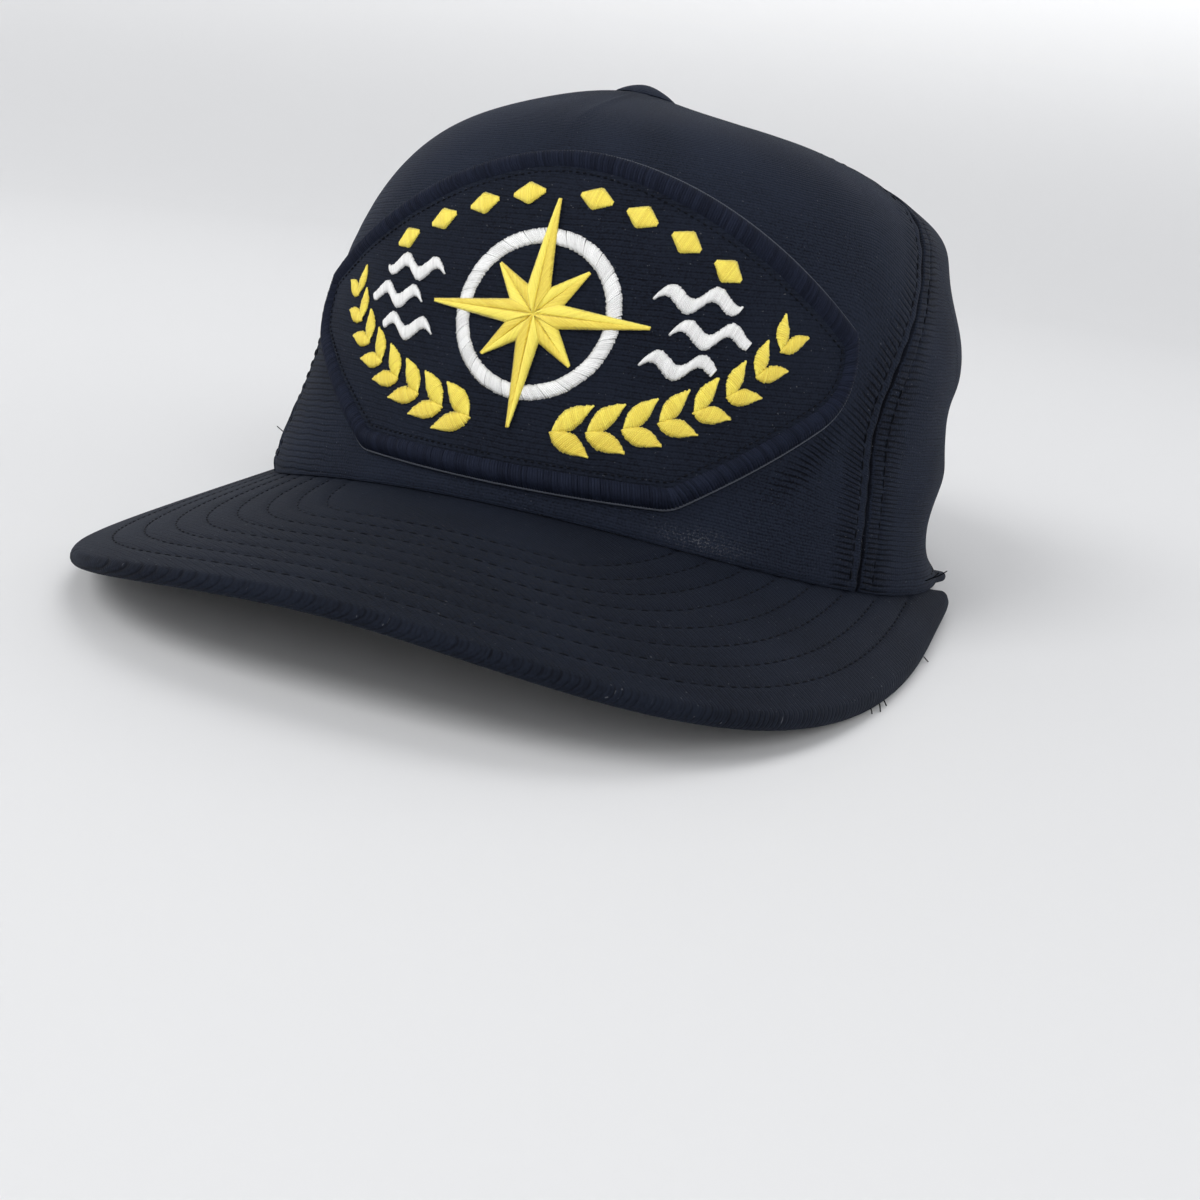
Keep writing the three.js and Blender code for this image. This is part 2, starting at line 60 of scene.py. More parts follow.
# Dents and swells of the soft panels: side, psi, rise, depth, spread round, spread up
folds = [
    (1, 95, 12, 9.5, 15, 9), (1, 114, 2, 8.5, 20, 26), (1, 104, 36, 5.4, 13, 8),
    (1, 100, 60, -3.4, 24, 17), (1, 114, 86, -8.5, 24, 11), (-1, 58, 4, -3.6, 24, 20),
    (-1, 62, 50, -1.2, 24, 26), (-1, 97, 20, 6, 16, 12), (-1, 114, 2, 7, 20, 26),
    (-1, 110, 60, -2.8, 24, 18), (1, 150, 74, 2.6, 16, 10), (-1, 145, 66, 2.2, 18, 9),
    (1, 100, 20, 1.7, 14, 6), (1, 101, 42, 1.5, 13, 5), (-1, 99, 26, 1.2, 13, 5),
]
tent = {"height": 1.9, "spread": 7.5, "round": 3.0}  # cloth drawn up round the button
slope = {"psi": 0.2, "q": 0.002}  # steps that normals are measured over


def ease(value, low, high):
    share = np.clip((value - low) / (high - low), 0, 1)
    return share * share * (3 - 2 * share)


def fade(value, low, high):
    return 1 - ease(value, low, high)


def mix(first, second, share):
    return first + (second - first) * share


def bell(value, width):
    return np.exp(-(value / width) ** 2)


def unit(vectors):
    return vectors / np.maximum(np.linalg.norm(vectors, axis=-1, keepdims=True), 1e-9)


def runAlong(line):
    return np.concatenate([[0], np.cumsum(np.linalg.norm(np.diff(line, axis=0), axis=1))])


def pointsAt(at, run, line):
    return np.stack([np.interp(at, run, part) for part in line.T], -1)


def rimPlan(psi):
    facing = np.cos(np.radians(psi))
    depth = np.where(facing > 0, crown["front"], crown["back"])
    return crown["halfWidth"] * np.sin(np.radians(psi)), -depth * facing


rootPsi = math.degrees(math.acos(-visorForm["rootY"] / crown["front"]))
rootX = float(rimPlan(rootPsi)[0])


def visorTop(x, y):
    bend = (rootX * rootX - x * x) / (2 * visorForm["bendRadius"])
    return visorForm["pitch"] * (y - visorForm["rootY"]) + bend


def visorEdge(turn):
    across, along = np.cos(np.radians(turn)), np.maximum(np.sin(np.radians(turn)), 0)
    power = 2 / visorForm["squareness"]
    half = rootX + visorForm["flare"] * along ** visorForm["flareRise"]
    x = half * np.sign(across) * np.abs(across) ** power
    return np.stack([x, visorForm["rootY"] - visorForm["reach"] * along ** power], -1)


def visorRoot(share):
    root = np.stack(rimPlan(mix(rootPsi, -rootPsi, share)), -1)
    length = np.linalg.norm(root, axis=-1, keepdims=True)
    return root * (length - visorForm["tuck"]) / length


def noseStart(root, nose):
    width = np.linalg.norm(nose - root, axis=-1)
    return 1 - np.minimum(visorForm["thickness"] / 2 / width, 1)


# The free edge, looked up by the share of its length
edgeLine = visorEdge(np.linspace(0, 180, 1801))
edgeRun = runAlong(edgeLine)


def edgeAt(share):
    return pointsAt(share * edgeRun[-1], edgeRun, edgeLine)


def restingTilt():
    share = np.linspace(0, 1, visorForm["stations"] + 1)
    root, nose = visorRoot(share), edgeAt(share)
    low = mix(root, nose, noseStart(root, nose)[:, None])
    drop = visorForm["thickness"] - visorTop(low[:, 0], low[:, 1])
    return float(np.arctan2(drop, crown["back"] - low[:, 1]).max())


restTilt = restingTilt()


def toFrame(points):
    x, y, z = points[..., 0], points[..., 1], points[..., 2]
    cos, sin = math.cos(restTilt), math.sin(restTilt)
    turned = [x, y * cos + z * sin + crown["setDownY"], z * cos - y * sin + crown["back"] * sin]
    return np.stack(turned, -1) * mm


def rimHeight(x, y):
    onVisor = visorTop(x, y) + crown["rimLift"]
    onFloor = -math.tan(restTilt) * (crown["back"] - y)
    low = visorForm["rootY"] + visorForm["overRoot"]
    return mix(onVisor, onFloor, ease(y, low, crown["restFlatY"]))


def foldDepth(psi, rise):
    turn = np.where(psi > 180, psi - 360, psi)
    depth = np.zeros(np.broadcast(psi, rise).shape)
    for side, foldPsi, foldRise, deep, spreadPsi, spreadRise in folds:
        away = np.hypot((turn * side - foldPsi) / spreadPsi, (rise - foldRise) / spreadRise)
        depth = depth + deep * bell(away, 1)
    return depth


def meridian(psi):
    facing = np.cos(np.radians(psi))
    front = np.maximum(facing, 0) ** crown["facingPower"]
    back = np.maximum(-facing, 0) ** crown["facingPower"]
    side = 1 - front - back
    power = crown["curveFront"] * front + crown["curveSide"] * side + crown["curveBack"] * back
    return front, side, back, power


def crownOuter(psi, q):
    psi, q = np.broadcast_arrays(np.asarray(psi, float), np.asarray(q, float))
    x, y = rimPlan(psi)
    front, side, back, power = meridian(psi)
    cos, sin = np.maximum(np.cos(q * np.pi / 2), 0), np.sin(np.maximum(q, 0) * np.pi / 2)
    scale = (cos ** power + sin ** power) ** (-1 / power)
    reach, climb = scale * cos, scale * sin
    swell = np.sin(np.pi * np.minimum(climb, 1))
    low = rimHeight(x, y)
    z = low + (crown["height"] - low) * climb
    out = (crown["bulgeSide"] * side + crown["bulgeBack"] * back) * swell - foldDepth(psi, z)
    radius = np.hypot(x, y)
    lean = crown["frontLean"] * front * swell
    px = crown["apexX"] * (1 - reach) ** crown["gather"] + x * reach + out * x / radius
    py = crown["apexY"] * (1 - reach) + y * reach + out * y / radius + lean
    fromPeak = np.hypot(px - crown["peakX"], py - crown["peakY"])
    peak = crown["peak"] * bell(fromPeak, crown["peakSpread"]) * climb ** crown["peakPower"]
    fromTop = np.hypot(px - crown["apexX"], py - crown["apexY"])
    fromTop = np.hypot(fromTop, tent["round"]) - tent["round"]
    peak = peak + tent["height"] * np.exp(-fromTop / tent["spread"]) * climb ** crown["peakPower"]
    return np.stack([px, py, z + peak], -1)


def crownNormal(psi, q):
    turn, climb = slope["psi"], slope["q"]
    across = crownOuter(psi + turn, q) - crownOuter(psi - turn, q)
    up = crownOuter(psi, q + climb) - crownOuter(psi, np.maximum(q - climb, 0))
    return unit(np.cross(across, up))


def crownPoint(psi, q, offset):
    return crownOuter(psi, q) + crownNormal(psi, q) * np.asarray(offset)[..., None]


def arcPerDegree(psi, q):
    return np.linalg.norm(crownOuter(psi + 0.5, q) - crownOuter(psi - 0.5, q), axis=-1)


def frontSeam(q):
    turn = ease(q, frontSeamLine["turnFrom"], frontSeamLine["turnTo"])
    return mix(frontSeamLine["rimPsi"], frontSeamLine["topPsi"], turn)


def qAtHeight(psi, z):
    low = rimHeight(*rimPlan(psi))
    power = meridian(psi)[3]
    climb = np.clip((z - low) / (crown["height"] - low), 0, 0.9999) ** power
    return np.arctan((climb / (1 - climb)) ** (1 / power)) * 2 / np.pi


# Length up the front centre line, as a table to look q up in
qTable = np.linspace(0, 1, 1001)
frontLine = crownOuter(np.zeros_like(qTable), qTable)
upTable = runAlong(frontLine)


# Making of meshes

def setMode(mode):
    bpy.ops.object.mode_set(mode=mode)


def selectAll(action="SELECT"):
    bpy.ops.mesh.select_all(action=action)


def clearSelection():
    if bpy.context.object and bpy.context.object.mode != "OBJECT":
        setMode("OBJECT")
    bpy.ops.object.select_all(action="DESELECT")


def pick(piece):
    clearSelection()
    piece.select_set(True)
    bpy.context.view_layer.objects.active = piece


def applyModifiers(piece):
    pick(piece)
    for modifier in list(piece.modifiers):
        bpy.ops.object.modifier_apply(modifier=modifier.name)


def addFlat(piece, flat):
    attribute = piece.data.attributes.new("flat", "FLOAT_VECTOR", "POINT")
    padded = np.zeros((len(flat), 3), np.float32)
    padded[:, :flat.shape[1]] = flat
    attribute.data.foreach_set("vector", padded.ravel())


def readPoints(piece):
    places = np.empty(len(piece.data.vertices) * 3, np.float32)
    piece.data.vertices.foreach_get("co", places)
    return places.reshape(-1, 3)


def movePoints(piece, points):
    piece.data.vertices.foreach_set("co", points.astype(np.float32).ravel())
    piece.data.update()


def overFloor(points):
    placed = toFrame(points)
    placed[:, 2] = np.maximum(placed[:, 2], 0)
    return placed


# A grid primitive whose points are moved to shape(u, v), with flat(u, v) kept as cloth lengths
def addSheet(name, columns, rows, shape, flat):
    clearSelection()
    bpy.ops.mesh.primitive_grid_add(x_subdivisions=columns, y_subdivisions=rows, size=1)
    piece = bpy.context.object
    piece.name = piece.data.name = name
    u, v = (readPoints(piece)[:, :2].T + 0.5).astype(float)
    movePoints(piece, overFloor(shape(u, v)))
    addFlat(piece, flat(u, v))
    return piece


def smooth(piece, angle=50):
    pick(piece)
    bpy.ops.object.shade_smooth_by_angle(angle=math.radians(angle))


weldReach = 0.005
wallSteps = 16


# Joins the edges where a sheet meets itself, and with close fills its open ends
def weld(piece, close=False, outward=True):
    pick(piece)
    setMode("EDIT")
    selectAll()
    bpy.ops.mesh.remove_doubles(threshold=weldReach * mm)
    if close:
        selectAll("DESELECT")
        bpy.ops.mesh.select_non_manifold(extend=False, use_wire=False, use_multi_face=False,
                                         use_non_contiguous=False, use_verts=False)
        bpy.ops.mesh.fill_holes(sides=0)
        selectAll()
    if outward:
        bpy.ops.mesh.normals_make_consistent(inside=False)
    setMode("OBJECT")


def addWall(piece, thick, group=""):
    pick(piece)
    bpy.ops.object.modifier_add(type="SOLIDIFY")
    wall = piece.modifiers[-1]
    wall.thickness, wall.offset, wall.vertex_group = thick * mm, -1, group
    applyModifiers(piece)


def wallThickness(piece, thick, share, columns):
    group = piece.vertex_groups.new(name="wall")
    steps = np.round(share * wallSteps) / wallSteps
    for step in np.unique(steps):
        group.add(np.flatnonzero(steps == step).tolist(), float(step), "REPLACE")
    addWall(piece, thick, "wall")
    places = readPoints(piece).reshape(2, -1, columns + 1, 3)
    places[1, :, :, 2] = np.maximum(places[1, :, :, 2], places[0, :1, :, 2])  # not under the rim
    movePoints(piece, places)


# Many threads as one mesh: paths and ups are (threads, points, 3) in the cap's frame
def addThreads(name, paths, ups, radius, sides=4, flatten=1.0, shade=None):
    paths, ups = np.asarray(paths, float), np.asarray(ups, float)
    count, points = paths.shape[:2]
    along = unit(np.gradient(paths, axis=1))
    side = unit(np.cross(along, ups))
    over = np.cross(side, along)
    turn = np.arange(sides)[:, None] * 2 * np.pi / sides
    thick = np.broadcast_to(np.asarray(radius, float), (count, points))[:, :, None, None]
    ring = side[:, :, None] * np.cos(turn) + over[:, :, None] * np.sin(turn) * flatten
    spots = overFloor((paths[:, :, None] + ring * thick).reshape(-1, 3))
    index = np.arange(count * points * sides).reshape(count, points, sides)
    turned = np.roll(index, -1, axis=2)
    rings = [index[:, :-1], turned[:, :-1], turned[:, 1:], index[:, 1:]]
    quads = np.stack(rings, -1).reshape(-1, 4)
    caps = np.concatenate([index[:, 0, ::-1], index[:, -1]])
    corners = np.concatenate([quads.ravel(), caps.ravel()])
    sizes = np.concatenate([np.full(len(quads), 4), np.full(len(caps), sides)])
    mesh = bpy.data.meshes.new(name)
    mesh.vertices.add(len(spots))
    mesh.vertices.foreach_set("co", spots.astype(np.float32).ravel())
    mesh.loops.add(len(corners))
    mesh.loops.foreach_set("vertex_index", corners.astype(np.int32))
    mesh.polygons.add(len(sizes))
    mesh.polygons.foreach_set("loop_start", (np.cumsum(sizes) - sizes).astype(np.int32))
    mesh.update(calc_edges=True)
    mesh.validate()
    piece = bpy.data.objects.new(name, mesh)
    bpy.context.scene.collection.objects.link(piece)
    tone = np.zeros(count) if shade is None else np.asarray(shade, float)
    attribute = mesh.attributes.new("shade", "FLOAT", "POINT")
    attribute.data.foreach_set("value", np.repeat(tone, points * sides).astype(np.float32))
    pick(piece)
    bpy.ops.object.shade_smooth()
    return piece


def finishPiece(piece, material, slot, *nodes):
    piece.data.materials.clear()
    piece.data.materials.append(material)
    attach(piece, "root")
    if nodes:
        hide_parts(*nodes)


# Finishes, as node materials

class Nodes:
    def __init__(self, name):
        self.material = bpy.data.materials.new(name)
        self.material.use_nodes = True
        self.tree = self.material.node_tree
        self.shader = self.tree.nodes["Principled BSDF"]

    def add(self, kind, **settings):
        node = self.tree.nodes.new("ShaderNode" + kind)
        for key, value in settings.items():
            setattr(node, key, value)
        return node

    def feed(self, socket, value):
        if isinstance(value, (int, float, tuple)):
            socket.default_value = value
        else:
            self.tree.links.new(value, socket)

    def math(self, operation, first, second=0.0, third=0.0):
        node = self.add("Math", operation=operation)
        for socket, value in zip(node.inputs, (first, second, third)):
            self.feed(socket, value)
        return node.outputs[0]

    def colours(self, share, low, high):
        node = self.add("Mix", data_type="RGBA")
        self.feed(node.inputs["Factor"], share)
        for socket, value in zip(node.inputs[6:8], (low, high)):
            self.feed(socket, (*value, 1.0) if isinstance(value, tuple) else value)
        return node.outputs[2]

    def noise(self, place, scale, detail=3.0, rough=0.55):
        node = self.add("TexNoise")
        self.feed(node.inputs["Vector"], place)
        for socket, value in (("Scale", scale), ("Detail", detail), ("Roughness", rough)):
            node.inputs[socket].default_value = value
        return node.outputs["Fac"]

    def between(self, value, low, high):
        node = self.add("MapRange", interpolation_type="SMOOTHSTEP")
        for socket, given in zip(node.inputs, (value, low, high)):
            self.feed(socket, given)
        return node.outputs[0]

    def bump(self, height, distance, strength=1.0):
        node = self.add("Bump")
        self.feed(node.inputs["Height"], height)
        node.inputs["Distance"].default_value = distance * mm
        node.inputs["Strength"].default_value = strength
        return node.outputs["Normal"]

    def arches(self, value):
        return self.math("ABSOLUTE", self.math("SINE", self.math("MULTIPLY", value, math.pi)))

    def parts(self, vector):
        node = self.add("SeparateXYZ")
        self.feed(node.inputs[0], vector)
        return node.outputs

    def objectPlace(self):
        return self.add("TexCoord").outputs["Object"]

    def set(self, **sockets):
        names = {"colour": "Base Color", "roughness": "Roughness", "normal": "Normal",
                 "specular": "Specular IOR Level", "sheen": "Sheen Weight",
                 "sheenRoughness": "Sheen Roughness", "sheenTint": "Sheen Tint",
                 "glow": "Emission Strength", "glowColour": "Emission Color"}
        for key, value in sockets.items():
            self.feed(self.shader.inputs[names[key]], value)
        return self.material


def lighter(colour, light):
    return tuple(light * part for part in colour)


# Scales are per millimetre of cloth; shades are painted shade, as shares of the way from the rib
# colour to the groove colour
ribKnit = {
    "pitch": 1.35, "loop": 0.8, "depth": 0.3, "rib": (0.0091, 0.0122, 0.0212),
    "groove": (0.0024, 0.0030, 0.0058), "lint": (0.14, 0.145, 0.16),
    "sheen": (0.42, 0.52, 0.78, 1.0), "sheenRoughness": 0.4, "roughness": 0.74, "specular": 0.07,
    "wanderScale": 0.12, "wander": 0.7, "fuzzScale": 1.9, "fuzzRough": 0.7, "fuzzTone": 3.0,
    "fuzzFrom": -0.35, "fuzzHeight": 0.3, "knitHeight": 0.3, "ribHeight": 1.1, "loopShare": 0.45,
    "groovePower": 0.8, "grooveShade": 1.1, "knitShade": 0.6, "seamShade": -2.0,
    "broadScale": 0.035, "broadRange": (0.35, 0.7), "broadShare": 0.3, "broadLight": 1.5,
    "speckScale": 1.7, "speckRange": (0.74, 0.8), "lintShare": 0.5,
    "rubScale": 2.1, "rubRough": 0.75, "rubRange": (0.5, 0.68),
}


# Rib knit: fine courses run across the cloth's own y, two to a rib, with loops along them
def ribCloth(name, turn=0.0, pitch=ribKnit["pitch"], depth=ribKnit["depth"], sheen=0.05, light=1.0,
             scuff=None):
    n, k = Nodes(name), ribKnit
    # light scales the rib colour: painted light on copies of the cloth that stand in the light,
    # painted shade on those that stand in shade
    rib = lighter(k["rib"], light)
    flat = n.add("Attribute", attribute_name="flat").outputs["Vector"]
    turned = n.add("VectorRotate", rotation_type="Z_AXIS")
    n.feed(turned.inputs["Vector"], flat)
    turned.inputs["Angle"].default_value = math.radians(turn)
    x, y, pull = n.parts(turned.outputs[0])
    wander = n.noise(flat, k["wanderScale"], 1.0)
    row = n.math("MULTIPLY_ADD", wander, k["wander"], n.math("DIVIDE", y, pitch))
    course = n.math("MULTIPLY", row, 2.0)
    stagger = n.math("MULTIPLY", n.math("FLOOR", course), 0.5)
    loops = n.arches(n.math("ADD", n.math("DIVIDE", x, k["loop"]), stagger))
    ribs, courses = n.arches(row), n.arches(course)
    fuzz = n.noise(flat, k["fuzzScale"], 2.0, k["fuzzRough"])
    # Above zero, pull is the rib strength; below zero it is the painted shade of a seam line
    strength = n.math("MAXIMUM", pull, 0.0)
    seamShade = n.math("MULTIPLY", n.math("MINIMUM", pull, 0.0), k["seamShade"])
    loops = n.math("MULTIPLY_ADD", loops, k["loopShare"], 1 - k["loopShare"])
    knit = n.math("MULTIPLY", courses, loops)
    fine = n.math("MULTIPLY_ADD", fuzz, k["fuzzHeight"], n.math("MULTIPLY", knit, k["knitHeight"]))
    height = n.math("MULTIPLY_ADD", n.math("MULTIPLY", ribs, strength), k["ribHeight"], fine)
    # Painted shade: the colour darkens towards the groove colour in the rib grooves, more where the
    # ribs are strong, between the knit's loops and courses, and along the seam lines
    grooves = n.math("POWER", n.math("SUBTRACT", 1.0, ribs), k["groovePower"])
    grooves = n.math("MULTIPLY", grooves, strength)
    shadow = n.math("MULTIPLY_ADD", grooves, k["grooveShade"], seamShade)
    shadow = n.math("MULTIPLY_ADD", n.math("SUBTRACT", 1.0, knit), k["knitShade"], shadow)
    lit = n.math("MULTIPLY_ADD", fuzz, k["fuzzTone"], k["fuzzFrom"])
    tone = n.colours(n.math("SUBTRACT", lit, shadow), k["groove"], rib)
    broad = n.between(n.noise(flat, k["broadScale"], 1.0), *k["broadRange"])
    broad = n.math("MULTIPLY", broad, k["broadShare"])
    tone = n.colours(broad, tone, lighter(rib, k["broadLight"]))
    specks = n.between(n.noise(flat, k["speckScale"], 1.0), *k["speckRange"])
    tone = n.colours(n.math("MULTIPLY", specks, k["lintShare"]), tone, k["lint"])
    if scuff:
        away = n.math("DIVIDE", n.math("SUBTRACT", x, scuff["x"]), scuff["spreadX"])
        above = n.math("DIVIDE", n.math("SUBTRACT", y, scuff["y"]), scuff["spreadY"])
        spot = n.math("MULTIPLY_ADD", away, away, n.math("MULTIPLY", above, above))
        rub = n.between(n.noise(flat, k["rubScale"], 2.0, k["rubRough"]), *k["rubRange"])
        rub = n.math("MULTIPLY", n.math("EXPONENT", n.math("MULTIPLY", spot, -1.0)), rub)
        tone = n.colours(n.math("MULTIPLY", rub, k["lintShare"]), tone, k["lint"])
    return n.set(colour=tone, roughness=k["roughness"], specular=k["specular"], sheen=sheen,
                 sheenRoughness=k["sheenRoughness"], sheenTint=k["sheen"],
                 normal=n.bump(height, depth))


spun = {"grain": 2600.0, "grainShare": 0.5, "least": 0.25, "sheenRoughness": 0.4,
        "bump": (0.05, 0.6)}


def threadFinish(name, dark, light, rough, sheen, specular):
    n = Nodes(name)
    # shade mixes dark to light: a random tone for each thread, and the painted sheen given to the
    # halves of star points and leaves
    shade = n.add("Attribute", attribute_name="shade").outputs["Fac"]
    grain = n.noise(n.objectPlace(), spun["grain"], 2.0)
    shade = n.math("MULTIPLY_ADD", grain, spun["grainShare"], n.math("ADD", shade, spun["least"]))
    return n.set(colour=n.colours(shade, dark, light), roughness=rough, specular=specular,
                 sheen=sheen, sheenRoughness=spun["sheenRoughness"],
                 normal=n.bump(grain, *spun["bump"]))


plastic = {"colour": (0.010, 0.011, 0.015), "worn": 1.35, "grain": 1400.0, "smear": 60.0,
           "wornRange": (0.3, 0.8), "smearRough": 0.25, "rough": 0.32, "specular": 0.45}


def mouldedPlastic(name):
    n = Nodes(name)
    place = n.objectPlace()
    grain = n.noise(place, plastic["grain"], 3.0)
    smear = n.noise(place, plastic["smear"], 4.0)
    rough = n.math("MULTIPLY_ADD", smear, plastic["smearRough"], plastic["rough"])
    tone = n.colours(n.between(smear, *plastic["wornRange"]), plastic["colour"],
                     lighter(plastic["colour"], plastic["worn"]))
    return n.set(colour=tone, roughness=rough, specular=plastic["specular"],
                 normal=n.bump(grain, 0.03, 0.5))


# The crown's cloth is painted lighter (1.4) and the visor's darker (0.87): lit and shaded copies of
# one cloth, painted light on the crown and painted shade on the visor
crownCloth = ribCloth("crown rib knit", sheen=0.03, light=1.4,
                      scuff={"x": 47.0, "y": 3.2, "spreadX": 9.0, "spreadY": 2.2})
visorCloth = ribCloth("visor rib knit", turn=35.0, depth=0.2, sheen=0.03, light=0.87)
patchCloth = ribCloth("patch twill", pitch=1.25, depth=0.22, light=1.1)
# Dark and light colour, roughness, sheen and specular of each thread
threadLooks = {
    "navy": ((0.0016, 0.002, 0.0035), (0.0062, 0.0076, 0.0125), 0.7, 0.0, 0.08),
    "border": ((0.0028, 0.0036, 0.0072), (0.014, 0.018, 0.034), 0.64, 0.0, 0.05),
    # edge is the pale colour of the painted highlight thread along the patch border's outer edge
    "edge": ((0.05, 0.057, 0.074), (0.1, 0.112, 0.14), 0.5, 0.05, 0.2),
    "yellow": ((0.72, 0.5, 0.045), (1.0, 0.86, 0.14), 0.42, 0.2, 0.35),
    "white": ((0.6, 0.6, 0.59), (0.95, 0.95, 0.94), 0.42, 0.2, 0.35),
}
thread = {name: threadFinish(name + " thread", *look) for name, look in threadLooks.items()}
strapPlastic = mouldedPlastic("strap plastic")
print("finishes made")


# Crown panels

# shade and shadeDepth are the width and depth of the painted shade along each seam line
seam = {
    "dip": 0.95, "width": 0.5, "shade": 0.75, "shadeDepth": 2.2, "stitch": 4.8, "frontStitch": 3.1,
    "stitchDip": 0.2, "stitchWidth": 0.7, "pucker": 0.16, "puckerPitch": 6.1, "puckerReach": 8.0,
    "puckerSway": 1.3, "puckerSwayRate": 0.21, "puckerShift": 2.0,
}
hem = {
    "roll": 0.7, "width": 1.1, "stitch": 3.6, "stitchDip": 0.22, "thick": 2.6, "thinTo": 16.0,
    "panelRise": 150.0, "archRise": 140.0, "slackRise": (2, 14),
}
crease = {"psi": -6.0, "width": 1.6, "rise": (0.5, 0.72), "end": (0.86, 0.96), "height": 0.35}
# Waves of the slack cloth: height, then rate round, rate up and phase of two waves
slackWaves = [
    (0.32, (0.11, 0.05, 0.0), (0.0, 0.083, 1.1)),
    (0.14, (0.31, -0.12, 0.7), (-0.05, 0.19, 0.0)),
]


def seamRelief(away, along, stitchAway):
    dip = seam["dip"] * bell(away, seam["width"])
    pulled = seam["stitchDip"] * bell(np.abs(away) - stitchAway, seam["stitchWidth"])
    sway = seam["puckerSway"] * np.sin(along * seam["puckerSwayRate"])
    wave = np.sin(along * 2 * np.pi / seam["puckerPitch"] + sway)
    return seam["pucker"] * wave * np.exp(-np.abs(away) / seam["puckerReach"]) - dip - pulled


def slack(psi, z):
    def wave(rates):
        return np.sin(psi * rates[0] + z * rates[1] + rates[2])

    return sum(height * wave(first) * wave(second) for height, first, second in slackWaves)


ribs = {
    "droop": 0.46, "droopReach": 26.0, "droopSoft": 8.0, "droopRise": (6, 34),
    "droopTurn": (-12, 12), "least": 0.08, "most": 0.9, "clear": (2.6, 3.8), "near": (6, 11),
    "nearTop": (60, 90), "bandSlope": 0.94, "bandFrom": 42.3, "bandWidth": 3.6,
    "bandRise": (12, 22), "bandTop": (36, 44), "wideShare": 0.62, "wide": (22, 48),
    "wideTop": (40, 80), "topShare": 0.5, "levelQ": 0.35,
    "softLeast": 0.1, "softSeam": 0.75, "softNear": (7, 13), "softRim": 0.15, "softTop": (10, 30),
}


# Rib strength sets both the ribs' bump and the painted shade in their grooves. Ribs stand out
# beside the seams, where the cloth is pulled, and widely beside the right seam; the band on the
# front panel that leaves the left seam on its way down stands for ribs that show up in the light,
# so its darker grooves there are painted shade
def ribStrength(psi, fromSeam, climb, front):
    if not front:
        bySeam = ribs["softSeam"] * fade(fromSeam, *ribs["softNear"])
        return ribs["softLeast"] + bySeam + ribs["softRim"] * fade(climb, *ribs["softTop"])
    clear = ease(fromSeam, *ribs["clear"])
    near = clear * fade(fromSeam, *ribs["near"])
    near = near * (1 - ribs["topShare"] * ease(climb, *ribs["nearTop"]))
    band = bell(fromSeam + ribs["bandSlope"] * climb - ribs["bandFrom"], ribs["bandWidth"])
    band = band * ease(climb, *ribs["bandRise"]) * fade(climb, *ribs["bandTop"])
    wide = ribs["wideShare"] * clear * fade(fromSeam, *ribs["wide"])
    wide = wide * (1 - ribs["topShare"] * ease(climb, *ribs["wideTop"]))
    return ribs["least"] + ribs["most"] * np.maximum(near, np.where(psi > 0, band, wide))


# Ribs hang down towards the left front seam
def ribDroop(psi, fromFront, climb):
    reach = np.clip(ribs["droopReach"] - fromFront, 0, ribs["droopReach"])
    hang = ribs["droop"] * reach * reach / (reach + ribs["droopSoft"])
    return hang * ease(climb, *ribs["droopRise"]) * ease(psi, *ribs["droopTurn"])


def edgeSpread(u, amount=0.55):
    return u - amount * np.sin(2 * np.pi * u) / (2 * np.pi)


# One panel between two seams; low(psi) is where its lower edge starts
def addPanel(name, nearSeam, farSeam, columns, rows, thick, soft, front=False, spread=edgeSpread,
             low=None):
    stitchAway = seam["frontStitch"] if front else seam["stitch"]

    def place(u, v):
        q = v * crown["top"]
        across = spread(u)
        start, end = nearSeam(q), farSeam(q)
        psi = mix(start, end, across)
        if low is not None:
            q = mix(low(psi), crown["top"], v)
        arc = arcPerDegree(psi, q)
        up = crownOuter(psi, q)[:, 2]
        lift = seamRelief((psi - start) * arc, up, stitchAway)
        lift = lift + seamRelief((end - psi) * arc, up + seam["puckerShift"], stitchAway)
        rise = v * (hem["panelRise"] if low is None else hem["archRise"])
        lift = lift - hem["roll"] * bell(rise, hem["width"])
        lift = lift - hem["stitchDip"] * bell(rise - hem["stitch"], seam["stitchWidth"])
        lift = lift + soft * slack(psi, up) * ease(rise, *hem["slackRise"])
        ridge = crease["height"] * bell(psi - crease["psi"], crease["width"])
        lift = lift + ridge * ease(q, *crease["rise"]) * fade(q, *crease["end"])
        return psi, q, lift

    def shape(u, v):
        psi, q, lift = place(u, v)
        points = crownPoint(psi, q, lift)
        if low is None:
            x, y = points[:, 0], points[:, 1]
            points[:, 2] = np.where(v < 1e-6, rimHeight(x, y), points[:, 2])
        return points

    def flat(u, v):
        psi, q, _ = place(u, v)
        climb = np.interp(q, qTable, upTable)
        arc = arcPerDegree(psi, q)
        fromSeam = np.minimum(psi - nearSeam(q), farSeam(q) - psi) * arc
        fromFront = fromSeam if front else (frontSeam(q) - np.abs(psi)) * arc
        droop = ribDroop(psi, fromFront, climb) * (low is None)
        x = psi * arcPerDegree(psi, np.minimum(q, ribs["levelQ"]))
        strength = ribStrength(psi, fromSeam, climb, front)
        # A dip below zero along the seam line carries its painted shade to the cloth's finish
        strength = strength - seam["shadeDepth"] * bell(fromSeam, seam["shade"])
        return np.stack([x, climb + droop, strength], -1)

    piece = addSheet(name, columns, rows, shape, flat)
    rise = np.repeat(np.linspace(0, crown["top"], rows + 1), columns + 1)
    share = mix(1.0, thick / hem["thick"], ease(np.interp(rise, qTable, upTable), 0, hem["thinTo"]))
    wallThickness(piece, hem["thick"], share, columns)
    smooth(piece)
    return piece


def constantSeam(psi):
    return lambda q: np.full_like(q, psi)


def mirroredSeam(line):
    return lambda q: -line(q)


